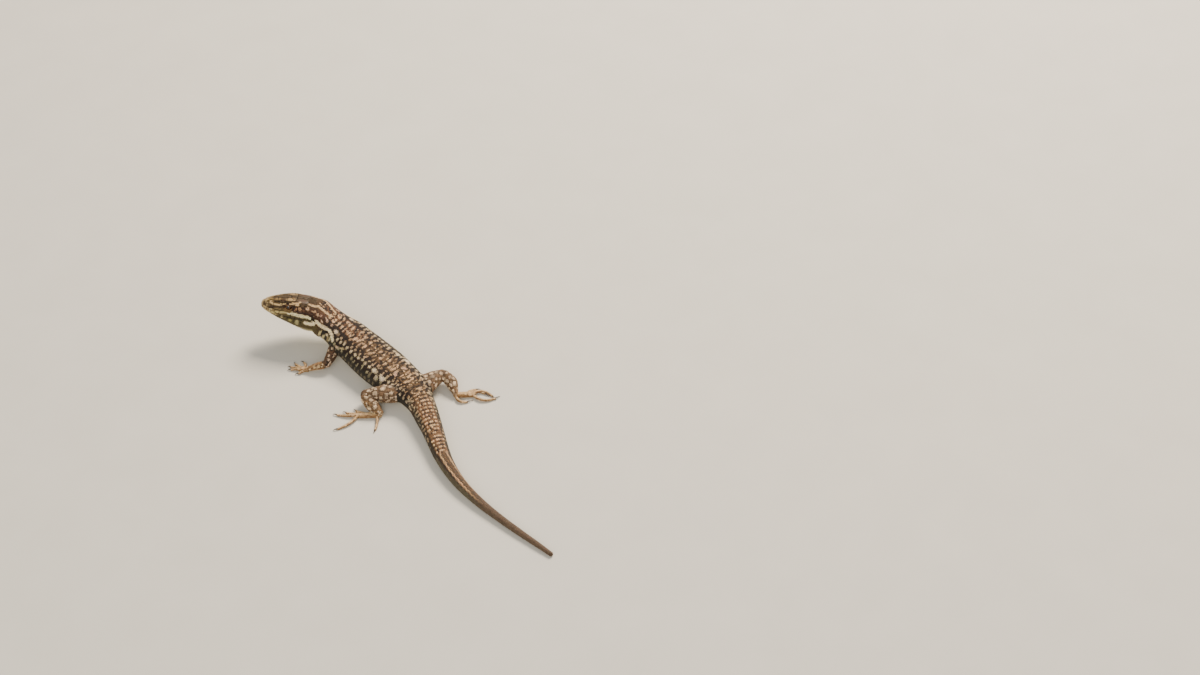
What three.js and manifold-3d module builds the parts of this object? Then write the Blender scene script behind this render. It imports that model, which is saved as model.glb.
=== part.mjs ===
// Common wall lizard, an adult male with a regrown tail, life size, basking flat on level ground.
// Millimetres. The animal faces -Y, its left is +X, up is +Z, and the ground it lies on is z = 0.
// The body is one loft from snout to tail tip, each limb a few lofts with round ends, and thin
// cuts part them into the pieces that a person would name. Neighbours face each other across GAP.

import * as THREE from 'three';
import { mergeVertices } from 'three/addons/utils/BufferGeometryUtils.js';
import Module from 'manifold-3d';

const wasm = await Module();
wasm.setup();

// ---------------------------------------------------------------- driving dimensions

const GAP = 0.3;                  // between pieces that meet
const MIDDLE = [-0.253, -0.464];  // of the animal's length and breadth, in the coordinates below
const BODY_SIDES = 24;            // corners round the head, trunk and tail
const LIMB_SIDES = 10;
const DIGIT_SIDES = 6;

// The head is stiff and straight: its snout tip, then degrees turned to the left, raised, and
// rolled with the left side up.
const HEAD = { tip: [9.5, -64.7, 12.3], turn: 38, rise: 9, roll: 15 };

// Cross-sections of the head. Columns: distance from the snout tip, half width at the jaw line,
// height above it, depth below it, squareness above and below, narrowing towards the crown.
const HEAD_SECTIONS = [
  [1.0, 1.55, 1.35, 1.25, 2.5, 2.3, 0.10],
  [2.0, 2.20, 1.95, 1.75, 2.8, 2.3, 0.14],
  [4.2, 3.10, 2.85, 2.45, 3.2, 2.4, 0.20],
  [6.5, 3.95, 3.62, 3.05, 3.5, 2.5, 0.23],
  [8.8, 4.65, 4.12, 3.55, 3.6, 2.5, 0.24],
  [11.0, 5.15, 4.40, 4.10, 3.6, 2.5, 0.24],
  [13.2, 5.50, 4.50, 4.75, 3.4, 2.4, 0.22],
  [15.2, 5.65, 4.50, 5.35, 3.0, 2.3, 0.18],
  [16.8, 5.60, 4.45, 5.40, 2.6, 2.2, 0.14],
  [18.3, 5.45, 4.35, 5.05, 2.4, 2.2, 0.11],
];

// Cross-sections from the neck to the tail tip. Columns: x, y, z of the widest line's middle,
// half width, height above, depth below, squareness above and below, narrowing, roll in degrees.
const TRUNK_SECTIONS = [
  [-2.4, -47.0, 8.2, 5.30, 4.00, 4.75, 2.2, 2.1, 0.08, 8],       // neck
  [-3.3, -42.3, 6.55, 5.75, 4.00, 4.70, 2.1, 2.1, 0.05, 3],      // shoulders
  [-3.8, -37.1, 5.2, 6.50, 4.15, 4.20, 2.1, 2.1, 0.04, 0],       // chest
  [-3.9, -29.0, 4.15, 7.20, 4.15, 3.90, 2.1, 2.2, 0.04, 0],     // middle of the trunk
  [-3.8, -21.7, 3.8, 7.20, 4.05, 3.90, 2.1, 2.2, 0.04, 0],      // belly
  [-3.9, -15.5, 3.65, 6.20, 3.90, 3.73, 2.1, 2.2, 0.03, 0],     // groin
  [-3.5, -10.8, 3.5, 5.30, 3.70, 3.58, 2.1, 2.2, 0.02, 0],      // hips
  [-1.8, -4.2, 3.2, 4.05, 3.30, 3.28, 2.1, 2.2, 0, 0],          // vent
  [1.2, 2.6, 2.9, 3.35, 2.95, 2.97, 2.1, 2.1, 0, 0],            // thick root of the tail
  [4.3, 8.9, 2.55, 2.90, 2.60, 2.61, 2.1, 2.1, 0, 0],
  [6.8, 13.9, 2.3, 2.55, 2.35, 2.36, 2.1, 2.1, 0, 0],           // old break
  [8.8, 18.9, 2.05, 2.20, 2.10, 2.11, 2.1, 2.1, 0, 0],
  [10.3, 24.2, 1.8, 1.92, 1.85, 1.86, 2, 2, 0, 0],
  [11.2, 29.8, 1.55, 1.65, 1.60, 1.61, 2, 2, 0, 0],
  [11.6, 36.7, 1.3, 1.36, 1.32, 1.35, 2, 2, 0, 0],
  [11.5, 44.3, 1.1, 1.12, 1.10, 1.15, 2, 2, 0, 0],
  [11.1, 52.0, 0.95, 0.97, 0.95, 1.00, 2, 2, 0, 0],
  [10.6, 59.0, 0.8, 0.82, 0.80, 0.85, 2, 2, 0, 0],
  [10.3, 63.4, 0.65, 0.66, 0.62, 0.69, 2, 2, 0, 0],             // blunt tip
];

// Swellings and hollows on the loft, the same on both flanks: distance from the snout, angle
// round the section (0 side, 90 top, -90 underside), reach along, reach round in degrees, rise.
const FORMS = [
  { at: 4.4, round: 46, long: 2.3, wide: 14, rise: 0.12 },      // edge of the snout
  { at: 6.1, round: 20, long: 1.4, wide: 14, rise: -0.22 },     // hollow before the eye
  { at: 9.0, round: 44, long: 2.8, wide: 11, rise: 0.22 },      // brow
  { at: 12.6, round: 26, long: 2.2, wide: 16, rise: -0.12 },    // temple behind the eye
  { at: 15.0, round: 4, long: 2.6, wide: 22, rise: 0.22 },      // jaw muscle
  { at: 7.0, round: 3, long: 5.2, wide: 6, rise: 0.10 },        // upper lip
  { at: 7.4, round: -16, long: 5.2, wide: 9, rise: 0.14 },      // lower lip
  { at: 19.8, round: 35, long: 1.5, wide: 60, rise: -0.15 },    // nape behind the jaw
  { at: 21.4, round: -55, long: 1.9, wide: 34, rise: 0.62 },    // fold of the collar
  { at: 28.9, round: 10, long: 3.4, wide: 40, rise: 0.30 },     // shoulder
  { at: 59.2, round: 10, long: 4.0, wide: 40, rise: 0.30 },     // hip
  { at: 71.2, round: -40, long: 4.0, wide: 40, rise: 0.25 },    // swelling behind the vent
];

// Where the body is parted, as distances from the snout tip.
const BODY_CUTS = [20.2, 26.4, 42.0, 55.5, 67.0, 88.0, 105.0, 121.5];
const BODY_NODES = ['head', 'neck', 'trunk_front', 'trunk_back', 'pelvis', 'tail_base',
  'tail_regrown_front', 'tail_regrown_middle', 'tail_tip'];

// Eye, ear and nostril in the head's own frame: distance from the snout, out from the axis, up.
const EYE = { at: 9.2, out: 2.5, up: 2.1, radius: 1.2, openLong: 1.12, openHigh: 0.78 };
const LID = { long: 0.3, out: 0.2, high: 0.1 };    // of the lids over the socket, each way
const EAR = { at: 17.3, out: 5.4, up: 0.9, long: 0.7, high: 1.05, deep: 0.9 };
const NOSTRIL = { at: 1.7, out: 1.85, up: 0.95, radius: 0.3 };

// The mouth line on the side of the head, from before the snout to its corner, and the cut that
// frees the lower jaw behind it. Columns: distance from the snout, height over the jaw line.
const MOUTH_LINE = [[-1.5, -0.3], [1.2, -0.3], [4.0, -0.2], [7.0, -0.45], [10.0, -0.5], [12.4, -0.25],
  [14.2, 0.15]];
const JAW_BACK = [[15.0, -2.6], [15.8, -8.5]];

// Limb segments, each a loft with round ends: x, y, z, half width, half height.
const LIMBS = {
  left: {
    upper_arm: [[-1.0, -39.6, 5.2, 2.2, 2.2], [1.8, -39.4, 4.7, 1.95, 2.05], [4.4, -38.6, 3.6, 1.6, 1.7],
      [6.4, -37.9, 2.7, 1.3, 1.35]],
    forearm: [[6.9, -38.0, 2.5, 1.25, 1.3], [9.0, -39.6, 1.95, 1.2, 1.15], [11.2, -41.5, 1.1, 0.8, 0.75]],
    thigh: [[-2.0, -11.4, 3.7, 3.5, 3.0], [1.6, -13.5, 3.7, 3.1, 2.8], [4.6, -16.0, 3.6, 2.45, 2.45],
      [7.3, -18.5, 3.4, 1.75, 1.8]],
    shin: [[8.2, -17.5, 3.0, 1.75, 1.65], [8.3, -14.8, 2.45, 2.05, 1.8], [8.1, -11.9, 1.5, 1.05, 1.0]],
  },
  right: {
    upper_arm: [[-6.0, -40.4, 4.9, 2.1, 2.1], [-8.0, -39.3, 4.2, 1.9, 1.95], [-9.6, -37.8, 2.8, 1.5, 1.5],
      [-10.6, -36.4, 1.75, 1.25, 1.25]],
    forearm: [[-10.9, -36.5, 1.7, 1.2, 1.15], [-11.7, -39.2, 1.75, 1.15, 1.1], [-11.5, -42.1, 1.1, 0.8, 0.75]],
    thigh: [[-4.6, -9.6, 3.5, 4.0, 3.1], [-8.2, -9.4, 3.5, 3.4, 2.85], [-11.5, -9.4, 3.4, 2.5, 2.5],
      [-14.2, -9.2, 3.2, 1.8, 1.8]],
    shin: [[-15.0, -8.3, 3.0, 1.75, 1.7], [-14.8, -5.4, 2.35, 1.9, 1.75], [-13.4, -2.3, 1.4, 1.0, 0.95]],
  },
};

// Hands and feet: heel, direction in degrees from straight ahead outwards, length and half width
// of the palm or sole, and the thumb-to-little digits, each with its root as a share of the
// length, its offset outwards, its own direction from the palm's, length and sideways bow.
const FOREFOOT = { thick: 0.72, digit: 0.44, claw: 0.95 };
const HINDFOOT = { thick: 0.78, digit: 0.47, claw: 1.15 };
const ENDS = {
  hand_left: {
    form: FOREFOOT, side: 1, heel: [11.3, -41.6], aim: 30, length: 2.2, half: 1.1, digits: [
      [0.55, -0.80, -62, 2.6, -0.4], [0.85, -0.50, -26, 3.2, 0.2], [1.0, -0.1, -2, 3.4, 0.1],
      [0.95, 0.4, 10, 3.1, -0.1], [0.55, 0.85, 46, 1.5, 0.1]],
  },
  hand_right: {
    form: FOREFOOT, side: -1, heel: [-11.3, -42.4], aim: -6, length: 2.2, half: 1.1, digits: [
      [0.55, -0.80, -50, 2.6, -0.3], [0.85, -0.50, -22, 3.3, 0.2], [1.0, -0.1, -2, 3.7, 0.1],
      [0.95, 0.4, 12, 3.5, -0.1], [0.55, 0.85, 38, 2.0, 0.1]],
  },
  foot_left: {
    form: HINDFOOT, side: 1, heel: [8.2, -11.3], aim: 46, length: 6.9, half: 1.05, digits: [
      [0.72, -0.75, -30, 3.0, 0.2], [0.85, -0.5, -13, 4.7, 0.3], [0.97, -0.15, -5, 6.6, 0.4],
      [1.0, 0.35, 40, 7.6, 0.7], [0.16, 0.7, 86, 5.2, 0.3]],
  },
  foot_right: {
    form: HINDFOOT, side: -1, heel: [-12.9, -1.9], aim: 129, length: 5.6, half: 1.05, digits: [
      [0.70, -0.75, -28, 3.0, -0.2], [0.82, -0.55, 6, 4.6, -0.8], [0.92, -0.3, 15, 6.4, -1.5],
      [0.95, 0.4, 14, 7.0, 1.5], [0.05, 0.6, 32, 4.0, 1.0]],
  },
};

// ---------------------------------------------------------------- lofts

const UP = new THREE.Vector3(0, 0, 1);
const RADIANS = Math.PI / 180;

// Value of one column at distance s, on a smooth curve through the rows' first column.
function smooth(rows, s, column) {
  const last = rows.length - 1;
  if (s <= rows[0][0]) return rows[0][column];
  if (s >= rows[last][0]) return rows[last][column];
  let i = 0;
  while (rows[i + 1][0] < s) i += 1;
  const slope = (k) => {
    const before = rows[Math.max(k - 1, 0)];
    const after = rows[Math.min(k + 1, last)];
    return (after[column] - before[column]) / (after[0] - before[0]);
  };
  const span = rows[i + 1][0] - rows[i][0];
  const t = (s - rows[i][0]) / span;
  return (2 * t ** 3 - 3 * t ** 2 + 1) * rows[i][column] + (t ** 3 - 2 * t ** 2 + t) * span * slope(i)
    + (3 * t ** 2 - 2 * t ** 3) * rows[i + 1][column] + (t ** 3 - t ** 2) * span * slope(i + 1);
}

// Rows [x, y, z, ...] become [distance along the path, x, y, z, ...].
function measured(rows) {
  let distance = 0;
  return rows.map((row, i) => {
    if (i > 0) {
      const [a, b] = [rows[i - 1], row];
      distance += Math.hypot(b[0] - a[0], b[1] - a[1], b[2] - a[2]);
    }
    return [distance, ...row];
  });
}

// Middle, direction, side and top of the section at distance s.
function frameAt(rows, s, rollColumn) {
  const step = 0.05;
  const point = (d) => new THREE.Vector3(smooth(rows, d, 1), smooth(rows, d, 2), smooth(rows, d, 3));
  const first = rows[0][0];
  const last = rows[rows.length - 1][0];
  const along = point(Math.min(s + step, last)).sub(point(Math.max(s - step, first))).normalize();
  const side = new THREE.Vector3().crossVectors(along, UP).normalize();
  const top = new THREE.Vector3().crossVectors(side, along);
  if (rollColumn) {
    const roll = smooth(rows, s, rollColumn) * RADIANS;
    side.applyAxisAngle(along, -roll);
    top.applyAxisAngle(along, -roll);
  }
  return { middle: point(s), along, side, top };
}

// Closed surface through equal rings of points, with a pole at each end.
function closedLoft(rings) {
  const sides = rings[0].length;
  const middle = (ring) => ring.reduce((sum, p) => sum.add(p), new THREE.Vector3()).divideScalar(sides);
  const points = [middle(rings[0]), ...rings.flat(), middle(rings[rings.length - 1])];
  const triangles = [];
  const lastPole = points.length - 1;
  const at = (ring, side) => 1 + ring * sides + (side % sides);
  for (let side = 0; side < sides; side += 1) {
    triangles.push(0, at(0, side), at(0, side + 1));
    for (let ring = 0; ring < rings.length - 1; ring += 1) {
      triangles.push(at(ring, side), at(ring + 1, side), at(ring, side + 1));
      triangles.push(at(ring, side + 1), at(ring + 1, side), at(ring + 1, side + 1));
    }
    triangles.push(lastPole, at(rings.length - 1, side + 1), at(rings.length - 1, side));
  }
  const geometry = new THREE.BufferGeometry();
  geometry.setAttribute('position', new THREE.Float32BufferAttribute(points.flatMap((p) => p.toArray()), 3));
  geometry.setIndex(triangles);
  return geometry;
}

// Distances of the rings and how far each is shrunk, with round caps past both ends.
function ringPlan(first, last, spacing, capStart, capEnd) {
  const CAP_ANGLES = [68, 34];
  const count = Math.max(2, Math.round((last - first) / spacing));
  const plan = CAP_ANGLES.map((a) => [first, -capStart * Math.sin(a * RADIANS), Math.cos(a * RADIANS)]);
  for (let i = 0; i <= count; i += 1) plan.push([first + (last - first) * i / count, 0, 1]);
  [...CAP_ANGLES].reverse().forEach((a) => {
    plan.push([last, capEnd * Math.sin(a * RADIANS), Math.cos(a * RADIANS)]);
  });
  return plan;
}

// ---------------------------------------------------------------- solids

function solid(geometry) {
  const bare = geometry.index && !geometry.attributes.normal ? geometry : geometry.clone();
  bare.deleteAttribute('normal');
  bare.deleteAttribute('uv');
  const merged = mergeVertices(bare, 1e-5);
  const mesh = new wasm.Mesh({
    numProp: 3,
    vertProperties: new Float32Array(merged.attributes.position.array),
    triVerts: new Uint32Array(merged.index.array),
  });
  return new wasm.Manifold(mesh);
}

function largestPart(shape) {
  const parts = shape.decompose();
  return parts.reduce((best, part) => (part.volume() > best.volume() ? part : best), parts[0]);
}

function node(name, shape, material) {
  const mesh = largestPart(shape).getMesh();
  const geometry = new THREE.BufferGeometry();
  geometry.setAttribute('position', new THREE.Float32BufferAttribute(mesh.vertProperties, 3));
  geometry.setIndex([...mesh.triVerts]);
  geometry.computeVertexNormals();
  const piece = new THREE.Mesh(geometry, material);
  piece.name = name;
  return piece;
}

// ---------------------------------------------------------------- the body

const headBack = new THREE.Vector3(
  -Math.sin(HEAD.turn * RADIANS) * Math.cos(HEAD.rise * RADIANS),
  Math.cos(HEAD.turn * RADIANS) * Math.cos(HEAD.rise * RADIANS),
  -Math.sin(HEAD.rise * RADIANS),
);

const BODY_ROWS = measured([
  [...HEAD.tip, 0.3, 0.3, 0.3, 2, 2, 0, HEAD.roll],
  ...HEAD_SECTIONS.map(([at, ...size]) => [
    HEAD.tip[0] + headBack.x * at, HEAD.tip[1] + headBack.y * at, HEAD.tip[2] + headBack.z * at,
    ...size, HEAD.roll]),
  ...TRUNK_SECTIONS,
]).slice(1);                      // the tip itself only starts the count of distances

function bump(s, angle) {
  return FORMS.reduce((total, form) => {
    const along = (s - form.at) / form.long;
    const degrees = angle / RADIANS;
    const mirrored = degrees > 90 && degrees <= 270 ? 180 - degrees : degrees;
    const flank = mirrored > 180 ? mirrored - 360 : mirrored;
    const round = (flank - form.round) / form.wide;
    return total + form.rise * Math.exp(-along * along - round * round);
  }, 0);
}

function bodySection(s, grow, sides) {
  const [half, above, below, squareAbove, squareBelow, narrow] = [4, 5, 6, 7, 8, 9]
    .map((column) => smooth(BODY_ROWS, s, column));
  return Array.from({ length: sides }, (_, i) => {
    const angle = 2 * Math.PI * i / sides;
    const [c, d] = [Math.cos(angle), Math.sin(angle)];
    const power = d >= 0 ? squareAbove : squareBelow;
    const height = d >= 0 ? above : below;
    const radius = (Math.abs(c / half) ** power + Math.abs(d / height) ** power) ** (-1 / power);
    const reach = radius + bump(s, angle) + grow;
    const taper = 1 - narrow * Math.max(0, reach * d / height);
    return [reach * c * taper, reach * d];
  });
}

function bodyLoft(grow) {
  const first = BODY_ROWS[0][0];
  const last = BODY_ROWS[BODY_ROWS.length - 1][0];
  const HEAD_END = 26;
  const SNOUT_ROUND = 0.5;
  const headRings = ringPlan(first, HEAD_END, 1.0, SNOUT_ROUND + grow, 0).slice(0, -2);
  const restRings = ringPlan(HEAD_END, last, 2.5, 0, smooth(BODY_ROWS, last, 4) + grow).slice(3);
  return closedLoft([...headRings, ...restRings].map(([s, past, shrink]) => {
    const { middle, along, side, top } = frameAt(BODY_ROWS, s, 10);
    return bodySection(s, grow, BODY_SIDES).map(([across, high]) => middle.clone()
      .addScaledVector(along, past).addScaledVector(side, across * shrink).addScaledVector(top, high * shrink));
  }));
}

// ---------------------------------------------------------------- limbs and digits

function limbLoft(rows, grow, sides, spacing) {
  const path = measured(rows);
  const last = path[path.length - 1][0];
  const plan = ringPlan(0, last, spacing, rows[0][3] + grow, rows[rows.length - 1][3] + grow);
  return closedLoft(plan.map(([s, past, shrink]) => {
    const { middle, along, side, top } = frameAt(path, s, 0);
    const half = (smooth(path, s, 4) + grow) * shrink;
    const high = (smooth(path, s, 5) + grow) * shrink;
    return Array.from({ length: sides }, (_, i) => {
      const angle = 2 * Math.PI * i / sides;
      return middle.clone().addScaledVector(along, past)
        .addScaledVector(side, half * Math.cos(angle)).addScaledVector(top, high * Math.sin(angle));
    });
  }));
}

function direction(degrees, side) {
  return new THREE.Vector2(side * Math.sin(degrees * RADIANS), -Math.cos(degrees * RADIANS));
}

// Palm or sole with its five digits, each arched over its middle and ended by a hooked claw.
function endLoft({ form, side, heel, aim, length, half, digits }) {
  const ahead = direction(aim, side);
  const out = direction(aim + 90, side);
  const start = new THREE.Vector2(...heel);
  const place = (share, offset) => start.clone()
    .addScaledVector(ahead, share * length).addScaledVector(out, offset);
  const palmRow = (share, z, across, high) => [...place(share, 0).toArray(), z, across, high];
  const palm = limbLoft([
    palmRow(0.05, form.thick * 1.15, half * 0.8, form.thick * 1.15),
    palmRow(0.5, form.thick * 0.95, half * 0.95, form.thick * 1.1),
    palmRow(0.92, form.thick * 0.76, half, form.thick * 0.95),
  ], 0, LIMB_SIDES, 1.1);
  return digits.reduce((shape, [share, offset, turn, reach, bow]) => {
    const root = place(share, offset);
    const toward = direction(aim + turn, side);
    const aside = direction(aim + turn + 90, side);
    const row = (t, z, thick) => {
      const xy = root.clone().addScaledVector(toward, reach * t).addScaledVector(aside, bow * 4 * t * (1 - t));
      return [...xy.toArray(), z, thick, thick];
    };
    const d = form.digit;
    const tip = 1 + form.claw / reach;
    const digit = limbLoft([
      row(-0.08, form.thick * 0.8, d), row(0.3, d * 1.45, d), row(0.62, d * 1.15, d * 0.88),
      row(0.93, d * 0.6, d * 0.75), row(1.0, d * 0.9, d * 0.52), row(1 + (tip - 1) * 0.55, d * 0.8, d * 0.32),
      row(tip, 0.12, 0.07),
    ], 0, DIGIT_SIDES, 1.0);
    return shape.add(solid(digit));
  }, solid(palm));
}

// ---------------------------------------------------------------- cutting the pieces

const WORLD = 400;
const aboveFloor = solid(new THREE.BoxGeometry(WORLD, WORLD, WORLD).translate(0, 0, WORLD / 2));

// Everything on the tail side (sign 1) or the head side (sign -1) of the section at distance s.
function halfBody(s, sign) {
  const { middle, along } = frameAt(BODY_ROWS, s, 0);
  const turn = new THREE.Quaternion().setFromUnitVectors(UP, along.clone().multiplyScalar(sign));
  const box = new THREE.BoxGeometry(WORLD, WORLD, WORLD).translate(0, 0, WORLD / 2 + GAP / 2);
  return solid(box.applyQuaternion(turn).translate(...middle.toArray()));
}

const headFrame = frameAt(BODY_ROWS, 8, 10);
const headTip = new THREE.Vector3(...HEAD.tip);

function headMatrix(at, out, up) {
  const { along, side, top } = headFrame;
  const place = headTip.clone().addScaledVector(along, at).addScaledVector(side, out).addScaledVector(top, up);
  return new THREE.Matrix4().makeBasis(along, top, side).setPosition(place);
}

function headBall(at, out, up, long, wide, high, detail) {
  const ball = new THREE.SphereGeometry(1, detail, detail / 2).scale(long, high, wide);
  return solid(ball.applyMatrix4(headMatrix(at, out, up)));
}

// The space of the lower jaw: under the mouth line and before the cut behind its corner.
function jawSpace(grow) {
  const outline = new THREE.Shape([
    new THREE.Vector2(MOUTH_LINE[0][0], -9),
    ...[...JAW_BACK].reverse().map(([x, y]) => new THREE.Vector2(x + grow, y)),
    ...[...MOUTH_LINE].reverse().map(([x, y]) => new THREE.Vector2(x + (x > 13 ? grow : 0), y + grow)),
  ]);
  const block = new THREE.ExtrudeGeometry(outline, { depth: 16, bevelEnabled: false }).translate(0, 0, -8);
  return solid(block.applyMatrix4(headMatrix(0, 0, 0)));
}

const body = solid(bodyLoft(0)).intersect(aboveFloor);
const grownBody = solid(bodyLoft(GAP));

const SKIN = new THREE.MeshStandardMaterial({ color: 0x8a6a48, roughness: 0.62, metalness: 0 });
const HEAD_SKIN = new THREE.MeshStandardMaterial({ color: 0x7d6145, roughness: 0.5, metalness: 0 });
const TAIL_SKIN = new THREE.MeshStandardMaterial({ color: 0x74593f, roughness: 0.58, metalness: 0 });
const LIMB_SKIN = new THREE.MeshStandardMaterial({ color: 0xa5825a, roughness: 0.6, metalness: 0 });
const EYE_SURFACE = new THREE.MeshStandardMaterial({ color: 0x1d120b, roughness: 0.08, metalness: 0 });

const lizard = new THREE.Group();

BODY_NODES.forEach((name, i) => {
  let piece = body;
  if (i > 0) piece = piece.intersect(halfBody(BODY_CUTS[i - 1], 1));
  if (i < BODY_CUTS.length) piece = piece.intersect(halfBody(BODY_CUTS[i], -1));
  if (name === 'head') {
    for (const sign of [1, -1]) {
      const { at, out, up, radius, openLong, openHigh } = EYE;
      const socket = radius + GAP;
      piece = piece.add(headBall(at, sign * out, up, socket + LID.long, socket + LID.out, socket + LID.high, 16));
      piece = piece.subtract(headBall(at, sign * (out + socket + 0.35), up, openLong, 1.3, openHigh, 12));
      piece = piece.subtract(headBall(at, sign * out, up, socket, socket, socket, 14));
      piece = piece.subtract(headBall(EAR.at, sign * EAR.out, EAR.up, EAR.long, EAR.deep, EAR.high, 12));
      piece = piece.subtract(headBall(NOSTRIL.at, sign * NOSTRIL.out, NOSTRIL.up,
        NOSTRIL.radius, NOSTRIL.radius * 1.6, NOSTRIL.radius, 8));
      const eye = headBall(at, sign * out, up, radius, radius, radius, 14);
      lizard.add(node(sign > 0 ? 'eye_left' : 'eye_right', eye, EYE_SURFACE));
    }
    lizard.add(node('lower_jaw', piece.intersect(jawSpace(0)), HEAD_SKIN));
    piece = piece.subtract(jawSpace(GAP));
  }
  const material = name === 'head' ? HEAD_SKIN : name.startsWith('tail_') ? TAIL_SKIN : SKIN;
  lizard.add(node(name, piece, material));
});

for (const side of ['left', 'right']) {
  for (const [upper, lower, end] of [['upper_arm', 'forearm', 'hand'], ['thigh', 'shin', 'foot']]) {
    let taken = grownBody;
    for (const segment of [upper, lower]) {
      const rows = LIMBS[side][segment];
      const piece = solid(limbLoft(rows, 0, LIMB_SIDES, 1.3)).intersect(aboveFloor).subtract(taken);
      lizard.add(node(`${segment}_${side}`, piece, LIMB_SKIN));
      taken = taken.add(solid(limbLoft(rows, GAP, LIMB_SIDES, 1.3)));
    }
    const last = endLoft(ENDS[`${end}_${side}`]).intersect(aboveFloor).subtract(taken);
    lizard.add(node(`${end}_${side}`, last, LIMB_SKIN));
  }
}

// The origin is under the middle of the whole animal.
lizard.position.set(-MIDDLE[0], -MIDDLE[1], 0);

export default lizard;
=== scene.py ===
"""Common wall lizard, an adult male with a regrown tail, as a still display model at life size.

The animal faces -Y, its left is +X, up is +Z and it lies on z = 0. Its own sizes are in
millimetres; they become metres where a mesh is made.
"""

import itertools
import math

import bpy
import numpy as np
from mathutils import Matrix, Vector
from mathutils.bvhtree import BVHTree
from mathutils.kdtree import KDTree


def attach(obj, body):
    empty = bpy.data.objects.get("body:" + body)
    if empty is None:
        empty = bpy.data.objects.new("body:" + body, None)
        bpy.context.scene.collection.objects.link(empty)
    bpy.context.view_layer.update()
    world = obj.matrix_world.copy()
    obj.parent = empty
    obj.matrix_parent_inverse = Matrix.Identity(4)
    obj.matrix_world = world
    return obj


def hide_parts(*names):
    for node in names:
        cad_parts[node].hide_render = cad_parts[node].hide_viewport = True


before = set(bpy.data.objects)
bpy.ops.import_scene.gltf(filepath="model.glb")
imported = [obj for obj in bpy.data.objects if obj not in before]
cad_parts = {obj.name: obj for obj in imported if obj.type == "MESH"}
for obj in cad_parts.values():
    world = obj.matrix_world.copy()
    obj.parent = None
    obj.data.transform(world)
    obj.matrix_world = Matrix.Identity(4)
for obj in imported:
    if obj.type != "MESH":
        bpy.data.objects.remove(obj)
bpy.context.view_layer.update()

# ---------------------------------------------------------------- the view
# A visitor looks down at the animal from behind its left flank, a good two feet away, with the
# animal small in the picture and left of its middle.

VIEW_FROM = Vector((0.29215, 0.36486, 0.4750))
VIEW_AIM = Vector((-0.06175, 0.01096, 0.0))


def placed(name, data):
    """A new object in the scene."""
    thing = bpy.data.objects.new(name, data)
    bpy.context.scene.collection.objects.link(thing)
    return thing


camera = placed("view", bpy.data.cameras.new("view"))
camera.data.lens = 67.17
camera.data.sensor_width = 36.0
camera.data.clip_start = 0.01
camera.location = VIEW_FROM
camera.rotation_euler = (VIEW_AIM - VIEW_FROM).to_track_quat("-Z", "Y").to_euler()
bpy.context.scene.camera = camera

# ---------------------------------------------------------------- floor and light
# A pale matt board under one broad key lamp, half way up past the animal's right side, with a
# weaker lamp on the viewer's side and a bright room all round.


def put(tree, kind, inputs=None, **settings):
    """Adds a node to a tree. inputs takes plain values, sockets, or nodes for their first output."""
    node = tree.nodes.new(kind)
    for name, value in settings.items():
        setattr(node, name, value)
    for name, value in (inputs or {}).items():
        socket = next(s for i, s in enumerate(node.inputs) if name in (i, s.name) and s.enabled)
        if isinstance(value, bpy.types.Node):
            value = next(s for s in value.outputs if s.enabled)
        if isinstance(value, bpy.types.NodeSocket):
            tree.links.new(value, socket)
        else:
            socket.default_value = value
    return node


def tint(code):
    """Linear red, green and blue of an sRGB hex colour."""
    parts = np.array([int(code[i:i + 2], 16) / 255 for i in (1, 3, 5)])
    return np.where(parts <= 0.04045, parts / 12.92, ((parts + 0.055) / 1.055) ** 2.4)


def finish_tree(name):
    """A new material and its empty tree."""
    material = bpy.data.materials.new(name)
    material.use_nodes = True
    material.node_tree.nodes.clear()
    return material, material.node_tree


# Painted fibreboard: a pale, even, matt ground with a trace of mottling from the roller.
board, tree = finish_tree("matt painted board")
spot = put(tree, "ShaderNodeTexCoord")
mottle = put(tree, "ShaderNodeTexNoise", {
    "Vector": spot.outputs["Object"], "Scale": 60.0, "Detail": 4.0})
shade = put(tree, "ShaderNodeMix", {
    "Factor": mottle.outputs["Fac"], "A": (*tint("#cfcbc2"), 1), "B": (*tint("#d8d4cb"), 1)},
    data_type="RGBA")
paint = put(tree, "ShaderNodeBsdfPrincipled", {"Base Color": shade, "Roughness": 0.88, "IOR": 1.5})
put(tree, "ShaderNodeOutputMaterial", {"Surface": paint})

floor_mesh = bpy.data.meshes.new("floor")
floor_mesh.from_pydata([(-2, -2, 0), (2, -2, 0), (2, 2, 0), (-2, 2, 0)], [], [(0, 1, 2, 3)])
floor_mesh.materials.append(board)
floor = placed("floor", floor_mesh)

LAMPS = {       # place in metres, side of the square lamp in metres, watts, colour
    "key_lamp": ((-0.62, -0.20, 0.66), 0.34, 17.0, "#fff1de"),
    "viewer_lamp": ((0.75, 0.55, 0.70), 0.8, 9.0, "#f6f2ea"),
}
for name, (place, size, watts, colour) in LAMPS.items():
    lamp = bpy.data.lights.new(name, "AREA")
    lamp.size = size
    lamp.energy = watts
    lamp.color = tint(colour)
    stand = placed(name, lamp)
    stand.location = place
    stand.rotation_euler = (-Vector(place)).to_track_quat("-Z", "Y").to_euler()

room = bpy.data.worlds.new("pale room")
room.use_nodes = True
room.node_tree.nodes["Background"].inputs["Color"].default_value = (*tint("#e9e6df"), 1)
room.node_tree.nodes["Background"].inputs["Strength"].default_value = 0.55
bpy.context.scene.world = room

# ---------------------------------------------------------------- the shape of the body
# One loft from snout to tail tip and a few lofts for each limb, as the solids have them. Every
# scale, plate and lid below is seated on these surfaces by a distance and an angle round them.

MM = 0.001
MIDDLE = np.array([-0.253, -0.464, 0.0])      # of the animal's box, in the measures below
UP = np.array([0.0, 0.0, 1.0])

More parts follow.
